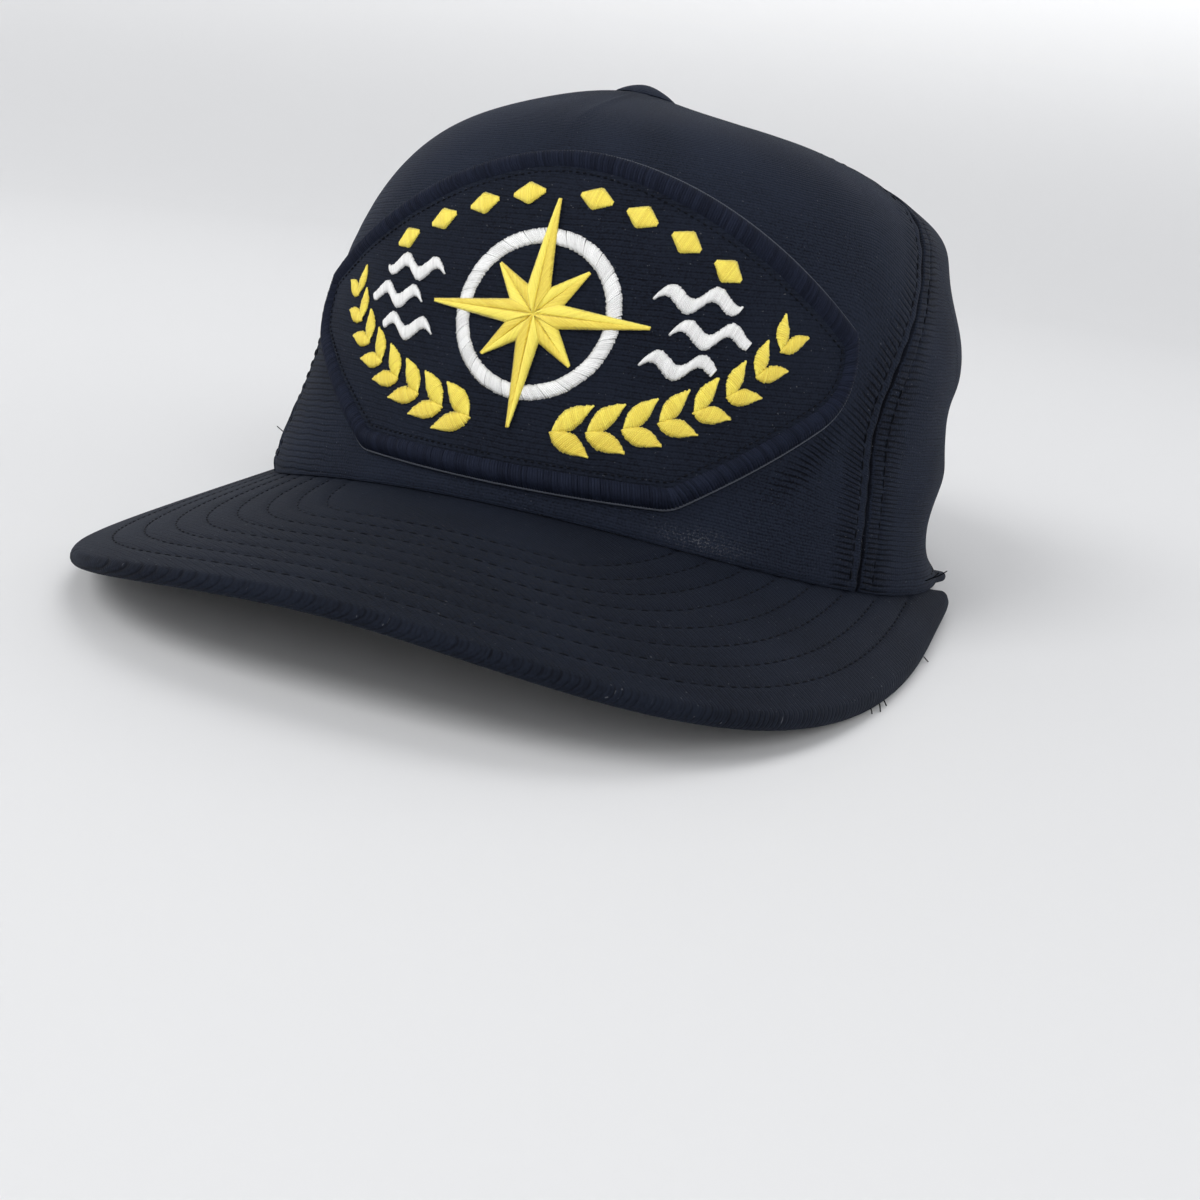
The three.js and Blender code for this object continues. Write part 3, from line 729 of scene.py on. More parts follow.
# Half-moon opening above the strap
opening = {"halfWidth": 45.0, "height": 51.0, "outside": 0.36, "highestQ": 0.7, "halvings": 36,
           "stitch": 4.0, "stitchDip": 0.1}
openingPsi = 180 - math.degrees(math.asin(opening["halfWidth"] / crown["halfWidth"]))


def archHeight(x):
    return opening["height"] * np.sqrt(np.maximum(1 - (x / opening["halfWidth"]) ** 2, 0))


def openingStart(psi):
    low, high = np.zeros_like(psi), np.full_like(psi, opening["highestQ"])
    for _ in range(opening["halvings"]):
        middle = (low + high) / 2
        x, _, z = crownOuter(psi, middle).T
        inside = (z < archHeight(x)) & (np.abs(x) < opening["halfWidth"])
        low, high = np.where(inside, middle, low), np.where(inside, high, middle)
    return np.where(high < 1e-6, 0, high)


# Columns crowd towards the foot of the opening, where its edge climbs steeply
def openingSpread(u):
    def share(psi):
        return (psi - crown["rearSeam"]) / (crown["backSeam"] - crown["rearSeam"])

    first = np.clip(u / opening["outside"], 0, 1)
    second = np.clip((u - opening["outside"]) / (1 - opening["outside"]), 0, 1)
    x = opening["halfWidth"] * np.cos(second * np.pi / 2)
    psi = 180 - np.degrees(np.arcsin(np.clip(x / crown["halfWidth"], 0, 1)))
    return np.where(u < opening["outside"], first * share(openingPsi), share(psi))


rear, back = constantSeam(crown["rearSeam"]), constantSeam(crown["backSeam"])
rightFront, rightRear, rightBack = (mirroredSeam(line) for line in (frontSeam, rear, back))
stiffPanel = {"columns": 200, "rows": 140, "thick": 2.4, "soft": 0.35, "front": True}
softPanel = {"columns": 110, "rows": 140, "thick": 1.5, "soft": 1.0}
leftArch = {**softPanel, "rows": 130, "spread": openingSpread, "low": openingStart}
rightArch = {**leftArch, "spread": lambda u: 1 - openingSpread(1 - u),
             "low": lambda psi: openingStart(-psi)}
panels = [
    ("frontPanel", "front_panel", rightFront, frontSeam, stiffPanel),
    ("sidePanelLeft", "side_panel_left", frontSeam, rear, softPanel),
    ("sidePanelRight", "side_panel_right", rightRear, rightFront, softPanel),
    ("backPanelLeft", "back_panel_left", rear, back, leftArch),
    ("backPanelRight", "back_panel_right", rightBack, rightRear, rightArch),
]
for name, node, nearSeam, farSeam, form in panels:
    finishPiece(addPanel(name, nearSeam, farSeam, **form), crownCloth, "cloth", node)
print("crown panels made")


# Visor

visorSewing = {
    "first": 8.0, "spacing": 6.1, "rows": 8, "groove": 0.26, "width": 0.6, "underShare": 0.7,
    "swell": 0.05, "swellAway": 2.0, "swellWidth": 1.4, "columns": 260, "steps": 84, "noseSteps": 8,
    "endColumns": 6, "endRun": 2.4, "endLeast": 0.12, "cornerOut": 1.0, "cornerBack": 9.0,
    "cornerRun": 14.0, "ribs": 0.2, "noseRibs": (0.42, 0.85), "noseTurn": 60.0,
    "noseEnd": (0.3, 2.0),
}


def edgeDistance(plan):
    coarse = edgeAt(np.linspace(0, 1, 900))
    nearest = [np.linalg.norm(coarse[None] - part[:, None], axis=2).min(1)
               for part in np.array_split(plan, max(len(plan) // 2000, 1))]
    return np.concatenate(nearest)


def sewnRelief(distance):
    depth = np.zeros_like(distance)
    for row in range(visorSewing["rows"]):
        away = distance - visorSewing["first"] - row * visorSewing["spacing"]
        depth -= visorSewing["groove"] * bell(away, visorSewing["width"])
        depth += visorSewing["swell"] * bell(np.abs(away) - visorSewing["swellAway"],
                                             visorSewing["swellWidth"])
    return depth


# Rows of the section's loop: share of the way out from the root, and lift over the middle
def visorLoop():
    steps, nose = visorSewing["steps"], visorSewing["noseSteps"]
    out = np.linspace(0, 1, steps)
    angles = np.linspace(90, -90, nose + 2)[1:-1]
    share = np.concatenate([out, np.ones(nose), out[::-1], [0]])
    bulge = np.concatenate([np.zeros(steps), np.cos(np.radians(angles)), np.zeros(steps + 1)])
    lift = np.concatenate([np.ones(steps), np.sin(np.radians(angles)), -np.ones(steps), [1]])
    return share, bulge, lift


def addVisor():
    share, bulge, lift = visorLoop()
    last = len(share) - 1
    half = visorForm["thickness"] / 2

    # Columns crowd at both ends, where the thickness rounds off
    def station(u):
        fromEnd = np.minimum(u, 1 - u) * visorSewing["columns"]
        ends, endShare = visorSewing["endColumns"], visorSewing["endRun"] / edgeRun[-1]
        turn = np.clip(fromEnd / ends, 0, 1) * np.pi / 2
        inner = (fromEnd - ends) / (visorSewing["columns"] / 2 - ends)
        run = mix(endShare, 0.5, np.maximum(inner, 0))
        run = np.where(fromEnd < ends, endShare * (1 - np.cos(turn)), run)
        return np.where(u < 0.5, run, 1 - run), np.maximum(np.sin(turn), visorSewing["endLeast"])

    def plan(u, v):
        row = np.rint(v * last).astype(int)
        along, swell = station(u)
        root, nose = visorRoot(along), edgeAt(along)
        run = np.minimum(along, 1 - along) * edgeRun[-1]
        corner = bell(run, visorSewing["cornerRun"])
        nose[:, 0] += np.sign(nose[:, 0]) * visorSewing["cornerOut"] * corner
        nose[:, 1] += visorSewing["cornerBack"] * corner
        start = noseStart(root, nose)
        out = mix(start * share[row], 1.0, bulge[row])
        return mix(root, nose, out[:, None]), lift[row], swell

    def shape(u, v):
        spot, up, swell = plan(u, v)
        relief = sewnRelief(edgeDistance(spot)) * np.sign(up) * (np.abs(up) > 0.99)  # off the nose
        relief = np.where(up < 0, relief * visorSewing["underShare"], relief)
        z = visorTop(spot[:, 0], spot[:, 1]) - half + (half * up + relief) * swell
        return np.stack([spot[:, 0], spot[:, 1], z], -1)

    def flat(u, v):
        spot, up, _ = plan(u, v)
        nose = mix(*visorSewing["noseRibs"], ease(-spot[:, 0], 0, visorSewing["noseTurn"]))
        strength = mix(nose, visorSewing["ribs"], ease(edgeDistance(spot), *visorSewing["noseEnd"]))
        return np.stack([spot[:, 0], spot[:, 1] + (1 - up) * half, strength], -1)

    piece = addSheet("visor", visorSewing["columns"], last, shape, flat)
    weld(piece, close=True)
    smooth(piece)
    return piece


finishPiece(addVisor(), visorCloth, "cloth", "visor")
print("visor made")


# Patch

patch = {
    "bottomV": 5.0, "topV": 79.5, "shoulderV": 32.5, "bottomHalf": 39.5, "shoulderHalf": 79.5,
    "cornerRound": 1.7, "shoulderRound": 11.0, "shoulderLean": 2.75, "waistHalf": 0.86,
    "waistRise": 0.37, "archTopHalf": 0.32, "twist": 0.026, "borderWidth": 4.6, "borderHeight": 2.4,
    "groundHeight": 1.15, "seat": 0.4, "middleV": 38.5,
}


# Points over the front panel: spot is the way round and up from its foot, along the cloth
def frontPoint(spot, height):
    u, v = spot[..., 0], spot[..., 1]
    up = v * (1 + patch["twist"] * u / patch["shoulderV"])
    q = np.interp(up, upTable, qTable)
    level = crownOuter(np.zeros_like(q), q)[..., 2]
    psi = u / arcPerDegree(np.zeros_like(q), q)
    return crownPoint(psi, qAtHeight(psi, level), height)


def frontNormal(spot):
    flat = np.zeros(spot.shape[:-1])
    return unit(frontPoint(spot, flat + 1) - frontPoint(spot, flat))


def bezier(*points):
    t = np.linspace(0, 1, 60)[:, None]
    rows = [np.asarray(point, float)[None] for point in points]
    while len(rows) > 1:
        rows = [mix(a, b, t) for a, b in zip(rows, rows[1:])]
    return rows[0]


# Middle line of the border: flat foot, slanted sides, round shoulders, arched top
def patchOutline(count):
    p = patch
    inset = p["borderWidth"] / 2
    foot, head = p["bottomV"] + inset, p["topV"] - inset
    footHalf, half = p["bottomHalf"] - inset, p["shoulderHalf"] - inset
    slant = unit(np.array([half - footHalf, p["shoulderV"] - foot]))
    corner, shoulder = np.array([footHalf, foot]), np.array([half, p["shoulderV"]])
    high = (half - p["shoulderLean"], p["shoulderV"] + p["shoulderRound"])
    waist = (half * p["waistHalf"], mix(p["shoulderV"], head, p["waistRise"]))
    left = np.concatenate([
        [(0, foot)],
        bezier(corner - (p["cornerRound"], 0), corner, corner + slant * p["cornerRound"]),
        bezier(shoulder - slant * p["shoulderRound"], shoulder, high),
        bezier(high, waist, (half * p["archTopHalf"], head), (0, head)),
    ])
    line = np.concatenate([left, left[::-1] * (-1, 1)])
    run = runAlong(line)
    return pointsAt(np.arange(count) / count * run[-1], run, line), run[-1]


def outwards(line):
    along = unit(np.roll(line, -1, 0) - np.roll(line, 1, 0))
    return np.stack([along[:, 1], -along[:, 0]], -1)


ground = {"columns": 240, "rows": 36, "inset": 0.3, "ripple": 0.1, "rippleU": 0.23, "rippleV": 0.31,
          "ribs": 0.3, "wall": 0.9}


def addPatchGround():
    columns = ground["columns"]
    line, _ = patchOutline(columns)
    rim = line - outwards(line) * patch["borderWidth"] * ground["inset"]
    rim = np.concatenate([rim, rim[:1]])
    middle = np.array([0, patch["middleV"]])

    def spot(u, v):
        return mix(middle, rim[np.rint(u * columns).astype(int)], v[:, None])

    def shape(u, v):
        at = spot(u, v)
        ripple = np.sin(at[:, 0] * ground["rippleU"]) * np.sin(at[:, 1] * ground["rippleV"])
        height = patch["seat"] + patch["groundHeight"] + ground["ripple"] * ripple
        return frontPoint(at, height)

    def flat(u, v):
        return np.concatenate([spot(u, v), np.full((len(u), 1), ground["ribs"])], 1)

    piece = addSheet("patchGround", columns, ground["rows"], shape, flat)
    weld(piece, outward=False)
    if piece.data.polygons[len(piece.data.polygons) // 2].normal.y > 0:
        piece.data.flip_normals()
    addWall(piece, patch["groundHeight"] * ground["wall"])
    smooth(piece)
    return piece


border = {
    "pitch": 0.6, "radius": 0.42, "sides": 5, "slant": 0.9, "points": 9, "round": 1.9, "crest": 0.6,
    "spread": 0.985, "sink": 0.6, "sway": (-0.06, 0.06), "rise": (-0.04, 0.05), "shade": (0, 0.5),
    "coreColumns": 360, "coreRows": 14, "coreSpread": 1.02, "coreShare": 0.78,
    "edgePoints": 420, "edgeOut": 0.55, "edgeHeight": 0.42, "edgeRadius": 0.27,
}


def borderProfile(across):
    share = np.abs(across / (patch["borderWidth"] / 2)) ** border["round"]
    return patch["borderHeight"] * np.maximum(1 - share, 0) ** border["crest"]


def addBorderCore():
    columns, rows = border["coreColumns"], border["coreRows"]
    line, _ = patchOutline(columns)
    out = outwards(line)
    half = patch["borderWidth"] / 2 - border["radius"]
    turn = np.linspace(0, 2 * np.pi, rows + 1)
    across = half * np.cos(turn)
    arch = borderProfile(across * border["coreSpread"]) * border["coreShare"]
    height = np.where(np.sin(turn) > 0.01, arch, 0)

    def spot(u, v):
        index = np.rint(u * columns).astype(int) % columns
        row = np.rint(v * rows).astype(int)
        return line[index] + out[index] * across[row][:, None], height[row]

    def shape(u, v):
        at, lift = spot(u, v)
        return frontPoint(at, patch["seat"] + lift)

    piece = addSheet("borderCore", columns, rows, shape, lambda u, v: spot(u, v)[0])
    weld(piece)
    bpy.ops.object.shade_smooth()
    return piece


# Overlock threads wrapped over the border's core, each a low arch across it
def addBorderThreads():
    _, length = patchOutline(10)
    count = int(length / border["pitch"])
    line, _ = patchOutline(count)
    out = outwards(line)
    along = np.stack([-out[:, 1], out[:, 0]], -1)
    share = np.linspace(-1, 1, border["points"])
    across = patch["borderWidth"] / 2 * np.sin(share * np.pi / 2)
    arch = borderProfile(across * border["spread"]) - border["radius"] * border["sink"]
    lift = patch["seat"] + np.maximum(arch, 0.0)
    jitter = np.array([[rng.uniform(*border["sway"]), rng.uniform(*border["rise"])]
                       for _ in range(count)])
    at = line[:, None] + out[:, None] * across[None, :, None]
    at = at + along[:, None] * (border["slant"] * share[None, :, None] + jitter[:, None, :1])
    shade = [rng.uniform(*border["shade"]) for _ in range(count)]
    return addThreads("patchBorder", frontPoint(at, lift[None] + jitter[:, 1:]), frontNormal(at),
                      border["radius"], border["sides"], 1.0, shade)


# A pale thread all along the border's outer edge: a painted highlight where the edge catches the
# light
def addPaintedBorderHighlight():
    line, _ = patchOutline(border["edgePoints"])
    spot = line + outwards(line) * patch["borderWidth"] * border["edgeOut"]
    spot = np.concatenate([spot, spot[:1]])
    height = np.full(len(spot), patch["seat"] + border["edgeHeight"])
    return addThreads("paintedBorderHighlight", frontPoint(spot, height)[None], frontNormal(spot)[None],
                      border["edgeRadius"], border["sides"])


finishPiece(addPatchGround(), patchCloth, "patch_ground", "patch")
finishPiece(addBorderCore(), thread["border"], "border_thread")
finishPiece(addBorderThreads(), thread["border"], "border_thread", "patch_border")
finishPiece(addPaintedBorderHighlight(), thread["edge"], "border_thread")
print("patch made")


# Embroidery: satin columns, threads laid side by side between two rails

satin = {
    "spacing": 0.4, "radius": 0.26, "bulge": 0.55, "points": 6, "base": 0.12, "shortest": 0.5,
    "shadeSpread": 0.18, "fullLength": 4.0, "mostArch": 1.2, "archPower": 0.6, "sides": 4,
    "flatten": 0.8, "lead": 0.9,
}
sewn = {"yellow": [], "white": []}


def layColumn(colour, railA, railB, lift=0.0, shade=0.25, ragged=0.25):
    rails = [np.asarray(rail, float) for rail in (railA, railB)]
    run = max((runAlong(rail) for rail in rails), key=lambda lengths: lengths[-1])
    count = max(int(run[-1] / satin["spacing"]), 2)
    at = np.linspace(0, run[-1], count)
    for first, second in zip(*(pointsAt(at, run, rail) for rail in rails)):
        span = second - first
        length = np.linalg.norm(span)
        if length < satin["shortest"]:
            continue
        pull = span / length
        first = first - pull * rng.uniform(0, ragged)
        second = second + pull * rng.uniform(0, ragged)
        spread = rng.uniform(-satin["shadeSpread"], satin["shadeSpread"])
        sewn[colour].append((first, second, lift, shade + spread))


def sewColour(colour, name):
    first, second, lift, shade = (np.array(part) for part in zip(*sewn[colour]))
    share = np.linspace(0, 1, satin["points"])
    at = mix(first[:, None], second[:, None], share[None, :, None])
    length = np.linalg.norm(second - first, axis=-1)[:, None]
    arch = satin["bulge"] * np.minimum(length / satin["fullLength"], satin["mostArch"])
    arch = arch * np.sin(share * np.pi)[None] ** satin["archPower"]
    base = patch["seat"] + patch["groundHeight"] + satin["base"]
    return addThreads(name, frontPoint(at, base + arch + lift[:, None]), frontNormal(at),
                      satin["radius"], satin["sides"], satin["flatten"], shade)


compass = {
    "middle": (0.0, 42.0), "long": 27.0, "short": 15.0, "waist": 6.4, "points": 8, "ragged": 0.1,
    "longLift": 0.6, "shortLift": 0.3, "shades": (0.38, -0.02), "ringIn": 15.6, "ringOut": 18.6,
    "ringPieces": 24, "ringGap": 1.0, "ringLean": 6.0, "ringShades": (0.2, 0.4),
}
wreath = {
    "middle": (0.0, 54.0), "halfWidth": 59.0, "drop": 36.5, "from": -81, "to": -22, "leaves": 8,
    "leafLength": 9.4, "leafHalf": 2.1, "lean": 33, "taper": 0.72, "leafSpan": (0.04, 0.97),
    "leafPower": 0.85, "shades": {1: 0.3, -1: 0.08},
}
waves = {
    "rows": [(49.0, 24.5, 43), (42.0, 29.5, 46.5), (35.0, 24.5, 40)], "swing": 1.5, "length": 10.0,
    "half": 1.5, "ends": (0.06, 0.94), "endPower": 0.45, "points": 60,
}
lozenges = {"inset": 8.2, "spots": [9.5, 21.5, 33.5, 45.5], "half": 4.2, "thin": 2.6, "ragged": 0.1,
            "edgePoints": 900}


# Radius is one length, or one across and one up
def polar(middle, radius, angle):
    turn = math.radians(angle)
    return np.array(middle) + np.array([math.cos(turn), math.sin(turn)]) * radius


def sewRing():
    step = 360 / compass["ringPieces"]
    for piece in range(compass["ringPieces"]):
        angles = np.linspace(piece * step + compass["ringGap"],
                             (piece + 1) * step - compass["ringGap"], 12)
        inner = [polar(compass["middle"], compass["ringIn"], angle) for angle in angles]
        outer = [polar(compass["middle"], compass["ringOut"], angle + compass["ringLean"])
                 for angle in angles]
        layColumn("white", inner, outer, 0.0, compass["ringShades"][piece % 2])


def sewStar():
    step = 360 / compass["points"]
    for point in range(compass["points"]):
        angle = 90 + step * point
        size = "short" if point % 2 else "long"
        tip = polar(compass["middle"], compass[size], angle)
        # The two halves of each point get a lighter and a darker shade: painted sheen, for their
        # two stitch directions
        for turn, shade in zip((step / 2, -step / 2), compass["shades"]):
            corner = polar(compass["middle"], compass["waist"], angle + turn)
            layColumn("yellow", [compass["middle"], tip], [corner, tip], compass[size + "Lift"],
                      shade, compass["ragged"])


def sewWreath(side):
    radii = (wreath["halfWidth"], wreath["drop"])
    swing = np.radians(np.linspace(wreath["from"], wreath["to"], 200))
    steps = np.hypot(radii[0] * np.sin(swing), radii[1] * np.cos(swing))
    run = np.cumsum(steps) - steps[0]
    t = np.linspace(*wreath["leafSpan"], 16)
    for leaf in range(wreath["leaves"]):
        share = leaf / (wreath["leaves"] - 1)
        size = mix(1.0, wreath["taper"], share)
        angle = math.degrees(np.interp(share * run[-1], run, swing))
        stem = polar(wreath["middle"], radii, angle)
        onward = unit(polar((0, 0), radii, angle + 90))
        # The two halves of each leaf get a lighter and a darker shade: painted sheen, for their two
        # stitch directions
        for turn, shade in wreath["shades"].items():
            lean = turn * wreath["lean"]
            way = onward[0] * polar((0, 0), 1, lean) + onward[1] * polar((0, 0), 1, lean + 90)
            across = np.array([-way[1], way[0]])
            spine = stem + way * (t * wreath["leafLength"] * size)[:, None]
            half = wreath["leafHalf"] * size * np.sin(np.pi * t ** wreath["leafPower"])
            wide = across * half[:, None]
            layColumn("yellow", (spine - wide) * (side, 1),
                      (spine + wide + way * satin["lead"]) * (side, 1), 0.0, shade)


def sewWaves(side):
    for height, start, end in waves["rows"]:
        u = np.linspace(start, end, waves["points"])
        v = height + waves["swing"] * np.sin((u - start) * 2 * np.pi / waves["length"])
        half = np.sin(np.pi * np.linspace(*waves["ends"], waves["points"])) ** waves["endPower"]
        half = half * waves["half"]
        layColumn("white", np.stack([side * u, v - half], -1),
                  np.stack([side * (u + satin["lead"]), v + half], -1))


# A row of lozenges under the arched top, counted from its middle along the edge
def sewLozenges(side):
    line, length = patchOutline(lozenges["edgePoints"])
    inner = line - outwards(line) * lozenges["inset"]
    t = np.linspace(-1, 1, 18)
    for along in lozenges["spots"]:
        index = int(round((length / 2 - along) / length * lozenges["edgePoints"]))
        way = unit(inner[index - 4] - inner[index + 4])
        spine = inner[index] + way * (t * lozenges["half"])[:, None]
        wide = np.array([-way[1], way[0]]) * (lozenges["thin"] * (1 - np.abs(t)))[:, None]
        layColumn("yellow", (spine - wide) * (side, 1), (spine + wide) * (side, 1),
                  ragged=lozenges["ragged"])


sewRing()
sewStar()
for side in (1, -1):
    sewWreath(side)
    sewWaves(side)
    sewLozenges(side)
for colour in ("yellow", "white"):
    finishPiece(sewColour(colour, colour + "Sewing"), thread[colour], colour + "_thread")
print("embroidery made:", {key: len(rows) for key, rows in sewn.items()})


# Lines of stitching: line is (points, 3) on the cloth, with the cloth's normals

stitch = {
    "pitch": 3.1, "length": 2.35, "radius": 0.21, "sink": 0.2, "height": 0.1, "sides": 6,
    "profile": (0.55, 1, 1.05, 1, 0.55), "shade": (0, 0.5), "seamQ": (0.015, 0.93),
    "overArch": 0.03, "patchIn": 1.0, "patchPitch": 1.6, "patchLength": 0.9, "hemFrom": 2.0,
    "hemTo": 26.0, "visorSlip": 0.25, "clearRim": 1.004,
}
stitchLines = []


def sewLine(line, normals, pitch=stitch["pitch"], length=stitch["length"]):
    run = runAlong(line)
    starts = (np.arange(int(run[-1] / pitch)) + 0.5) * pitch
    share = np.linspace(-0.5, 0.5, len(stitch["profile"]))
    at = starts[:, None] + share[None] * length
    ups = unit(pointsAt(at, run, normals))
    lift = mix(-stitch["sink"], stitch["height"], np.cos(share * np.pi) ** 0.5)
    stitchLines.append((pointsAt(at, run, line) + ups * lift[None, :, None], ups))


def sewCrown(psi, q, dip):
    sewLine(crownPoint(psi, q, np.full_like(q, -dip)), crownNormal(psi, q))


def sewSeam(psiLine, before, after, fromQ=stitch["seamQ"][0]):
    q = np.linspace(fromQ, stitch["seamQ"][1], 160)
    psi = psiLine(q)
    for away in (-before, after):
        sewCrown(psi + away / arcPerDegree(psi, q), q, seam["stitchDip"])


def sewHem(fromPsi, toPsi):
    psi = np.linspace(fromPsi, toPsi, 400)
    base = crownOuter(psi, np.zeros_like(psi))[:, 2]
    sewCrown(psi, qAtHeight(psi, base + hem["stitch"]), hem["stitchDip"])


def sewOpening():
    turn = np.radians(np.linspace(6, 174, 200))
    x = (opening["halfWidth"] + opening["stitch"]) * np.cos(turn)
    z = (opening["height"] + opening["stitch"]) * np.sin(turn)
    psi = 180 - np.degrees(np.arcsin(x / crown["halfWidth"]))
    for _ in range(20):  # slides along the crown until it is x from the middle
        q = qAtHeight(psi, z)
        psi = psi + (crownOuter(psi, q)[:, 0] - x) / arcPerDegree(psi, q)
    sewCrown(psi, q, opening["stitchDip"])


def sewPatch():
    line, _ = patchOutline(500)
    spot = line - outwards(line) * (patch["borderWidth"] / 2 + stitch["patchIn"])
    height = np.full(len(spot), patch["seat"] + patch["groundHeight"])
    sewLine(frontPoint(spot, height), frontNormal(spot),
            stitch["patchPitch"], stitch["patchLength"])


def sewVisor():
    line = edgeAt(np.linspace(0, 1, 1200))
    along = unit(np.gradient(line, axis=0))
    inward = np.stack([along[:, 1], -along[:, 0]], -1)
    dip = visorSewing["groove"]
    for row in range(visorSewing["rows"]):
        away = visorSewing["first"] + row * visorSewing["spacing"]
        spot = line + inward * away
        rim = np.hypot(spot[:, 0] / crown["halfWidth"], spot[:, 1] / crown["front"])
        kept = (rim > stitch["clearRim"]) & (spot[:, 1] < visorForm["rootY"])
        kept = kept & (edgeDistance(spot) > away - stitch["visorSlip"])
        x, y = spot[kept].T
        z = visorTop(x, y)
        up = unit(np.stack([x / visorForm["bendRadius"], np.full_like(x, -visorForm["pitch"]),
                            np.ones_like(x)], -1))
        low = z - visorForm["thickness"] + dip * visorSewing["underShare"]
        sewLine(np.stack([x, y, z - dip], -1), up)
        sewLine(np.stack([x, y, low], -1), -up)


sewSeam(frontSeam, seam["frontStitch"], seam["stitch"])
sewSeam(rightFront, seam["stitch"], seam["frontStitch"])
for line in (rear, rightRear):
    sewSeam(line, seam["stitch"], seam["stitch"])
backQ = float(openingStart(np.array([179.9]))[0])
sewSeam(back, seam["stitch"], seam["stitch"], backQ + stitch["overArch"])
for side in (1, -1):
    sewHem(side * (rootPsi + stitch["hemFrom"]), side * (crown["rearSeam"] + stitch["hemTo"]))
sewOpening()
sewPatch()
sewVisor()
paths, ups = (np.concatenate(part) for part in zip(*stitchLines))
profile = stitch["radius"] * np.array(stitch["profile"])
shades = [rng.uniform(*stitch["shade"]) for _ in paths]
finishPiece(addThreads("stitches", paths, ups, profile, stitch["sides"], 1.0, shades),
            thread["navy"], "cloth")
print("stitches made:", len(paths))


# Snap strap and button

strap = {
    "bottom": 1.2, "height": 20.0, "thickness": 1.4, "endPsi": 46.0, "lapPsi": 17.0,
    "lapBlend": 1.2, "seat": 0.4, "columns": 150,
    "section": [(0, 0.12), (0, 0.88), (0.05, 0.97), (0.3, 1), (0.7, 1), (0.95, 0.97), (1, 0.88),
                (1, 0.12), (0.95, 0.03), (0.7, 0), (0.3, 0), (0.05, 0.03), (0, 0.12)],
}
stud = {"count": 7, "spacing": 10.0, "radius": 2.4, "height": 1.5, "rim": 0.55, "dish": 0.3,
        "bevel": 0.25, "sides": 24, "sink": 0.4}


def strapPoint(psi, rise, depth):
    y = rimPlan(psi)[1]
    z = rise - math.tan(restTilt) * (crown["back"] - y)
    return crownPoint(psi, qAtHeight(psi, z), -depth)


def addStrap():
    outer = hem["thick"] + strap["seat"]
    depthShare, riseShare = np.array(strap["section"]).T
    last = len(depthShare) - 1

    def place(u, v):
        row = np.rint(v * last).astype(int)
        psi = 180 + strap["endPsi"] * (2 * u - 1)
        lap = fade(np.abs(psi - 180), strap["lapPsi"], strap["lapPsi"] + strap["lapBlend"])
        near, far = outer - strap["thickness"] * lap, outer + strap["thickness"]
        rise = strap["bottom"] + strap["height"] * riseShare[row]
        return psi, rise, mix(near, far, depthShare[row])

    piece = addSheet("snapStrap", strap["columns"], last, lambda u, v: strapPoint(*place(u, v)),
                     lambda u, v: np.stack(place(u, v)[:2], -1))
    weld(piece, close=True)
    return piece


def addStud(along):
    psi = 180 + along / float(arcPerDegree(180.0, 0.0))
    rise = strap["bottom"] + strap["height"] / 2
    face = hem["thick"] + strap["seat"] - strap["thickness"]
    depths = np.array([face + stud["sink"], face - 1.0])
    root, tip = toFrame(strapPoint(np.full(2, psi), np.full(2, rise), depths))
    clearSelection()
    bpy.ops.mesh.primitive_cylinder_add(vertices=stud["sides"], radius=stud["radius"] * mm,
                                        depth=2 * stud["height"] * mm)
    piece = bpy.context.object
    setMode("EDIT")
    bpy.ops.mesh.select_mode(type="FACE")
    selectAll("DESELECT")
    setMode("OBJECT")
    for face in piece.data.polygons:
        face.select = face.normal.z > 0.9
    setMode("EDIT")
    bpy.ops.mesh.inset(thickness=stud["rim"] * mm)
    bpy.ops.mesh.inset(thickness=stud["rim"] * mm, depth=-stud["dish"] * mm)
    setMode("OBJECT")
    bpy.ops.object.modifier_add(type="BEVEL")
    piece.modifiers[-1].width, piece.modifiers[-1].segments = stud["bevel"] * mm, 2
    applyModifiers(piece)
    z = unit(tip - root)
    x = unit(np.cross((0, 0, 1), z))
    turn = Matrix(np.stack([x, np.cross(z, x), z], 1).tolist()).to_4x4()
    piece.data.transform(Matrix.Translation(root.tolist()) @ turn)
    return piece


snapStrap = addStrap()
studs = [addStud((k - (stud["count"] - 1) / 2) * stud["spacing"]) for k in range(stud["count"])]
clearSelection()
for piece in studs + [snapStrap]:
    piece.select_set(True)
bpy.context.view_layer.objects.active = snapStrap
bpy.ops.object.join()
smooth(snapStrap, 40)
finishPiece(snapStrap, strapPlastic, "strap", "snap_strap")

button = {
    "radius": 7.9, "height": 2.1, "skirt": 0.5, "seat": -0.35, "gathers": 14, "gather": 0.14,
    "gatherFrom": 0.7, "dome": 1.7, "under": 0.4, "segments": 84, "rings": 40, "nearTopQ": 0.86,
}


# Height of the crown's skin near its top, from the nearest of many points on it
def crownTopAt(x, y):
    psi, q = np.meshgrid(np.arange(0, 360, 2.0), np.linspace(button["nearTopQ"], 1, 60))
    skin = crownOuter(psi.ravel(), q.ravel())
    nearest = [np.hypot(skin[:, 0] - px, skin[:, 1] - py).argmin() for px, py in zip(x, y)]
    return skin[nearest, 2]


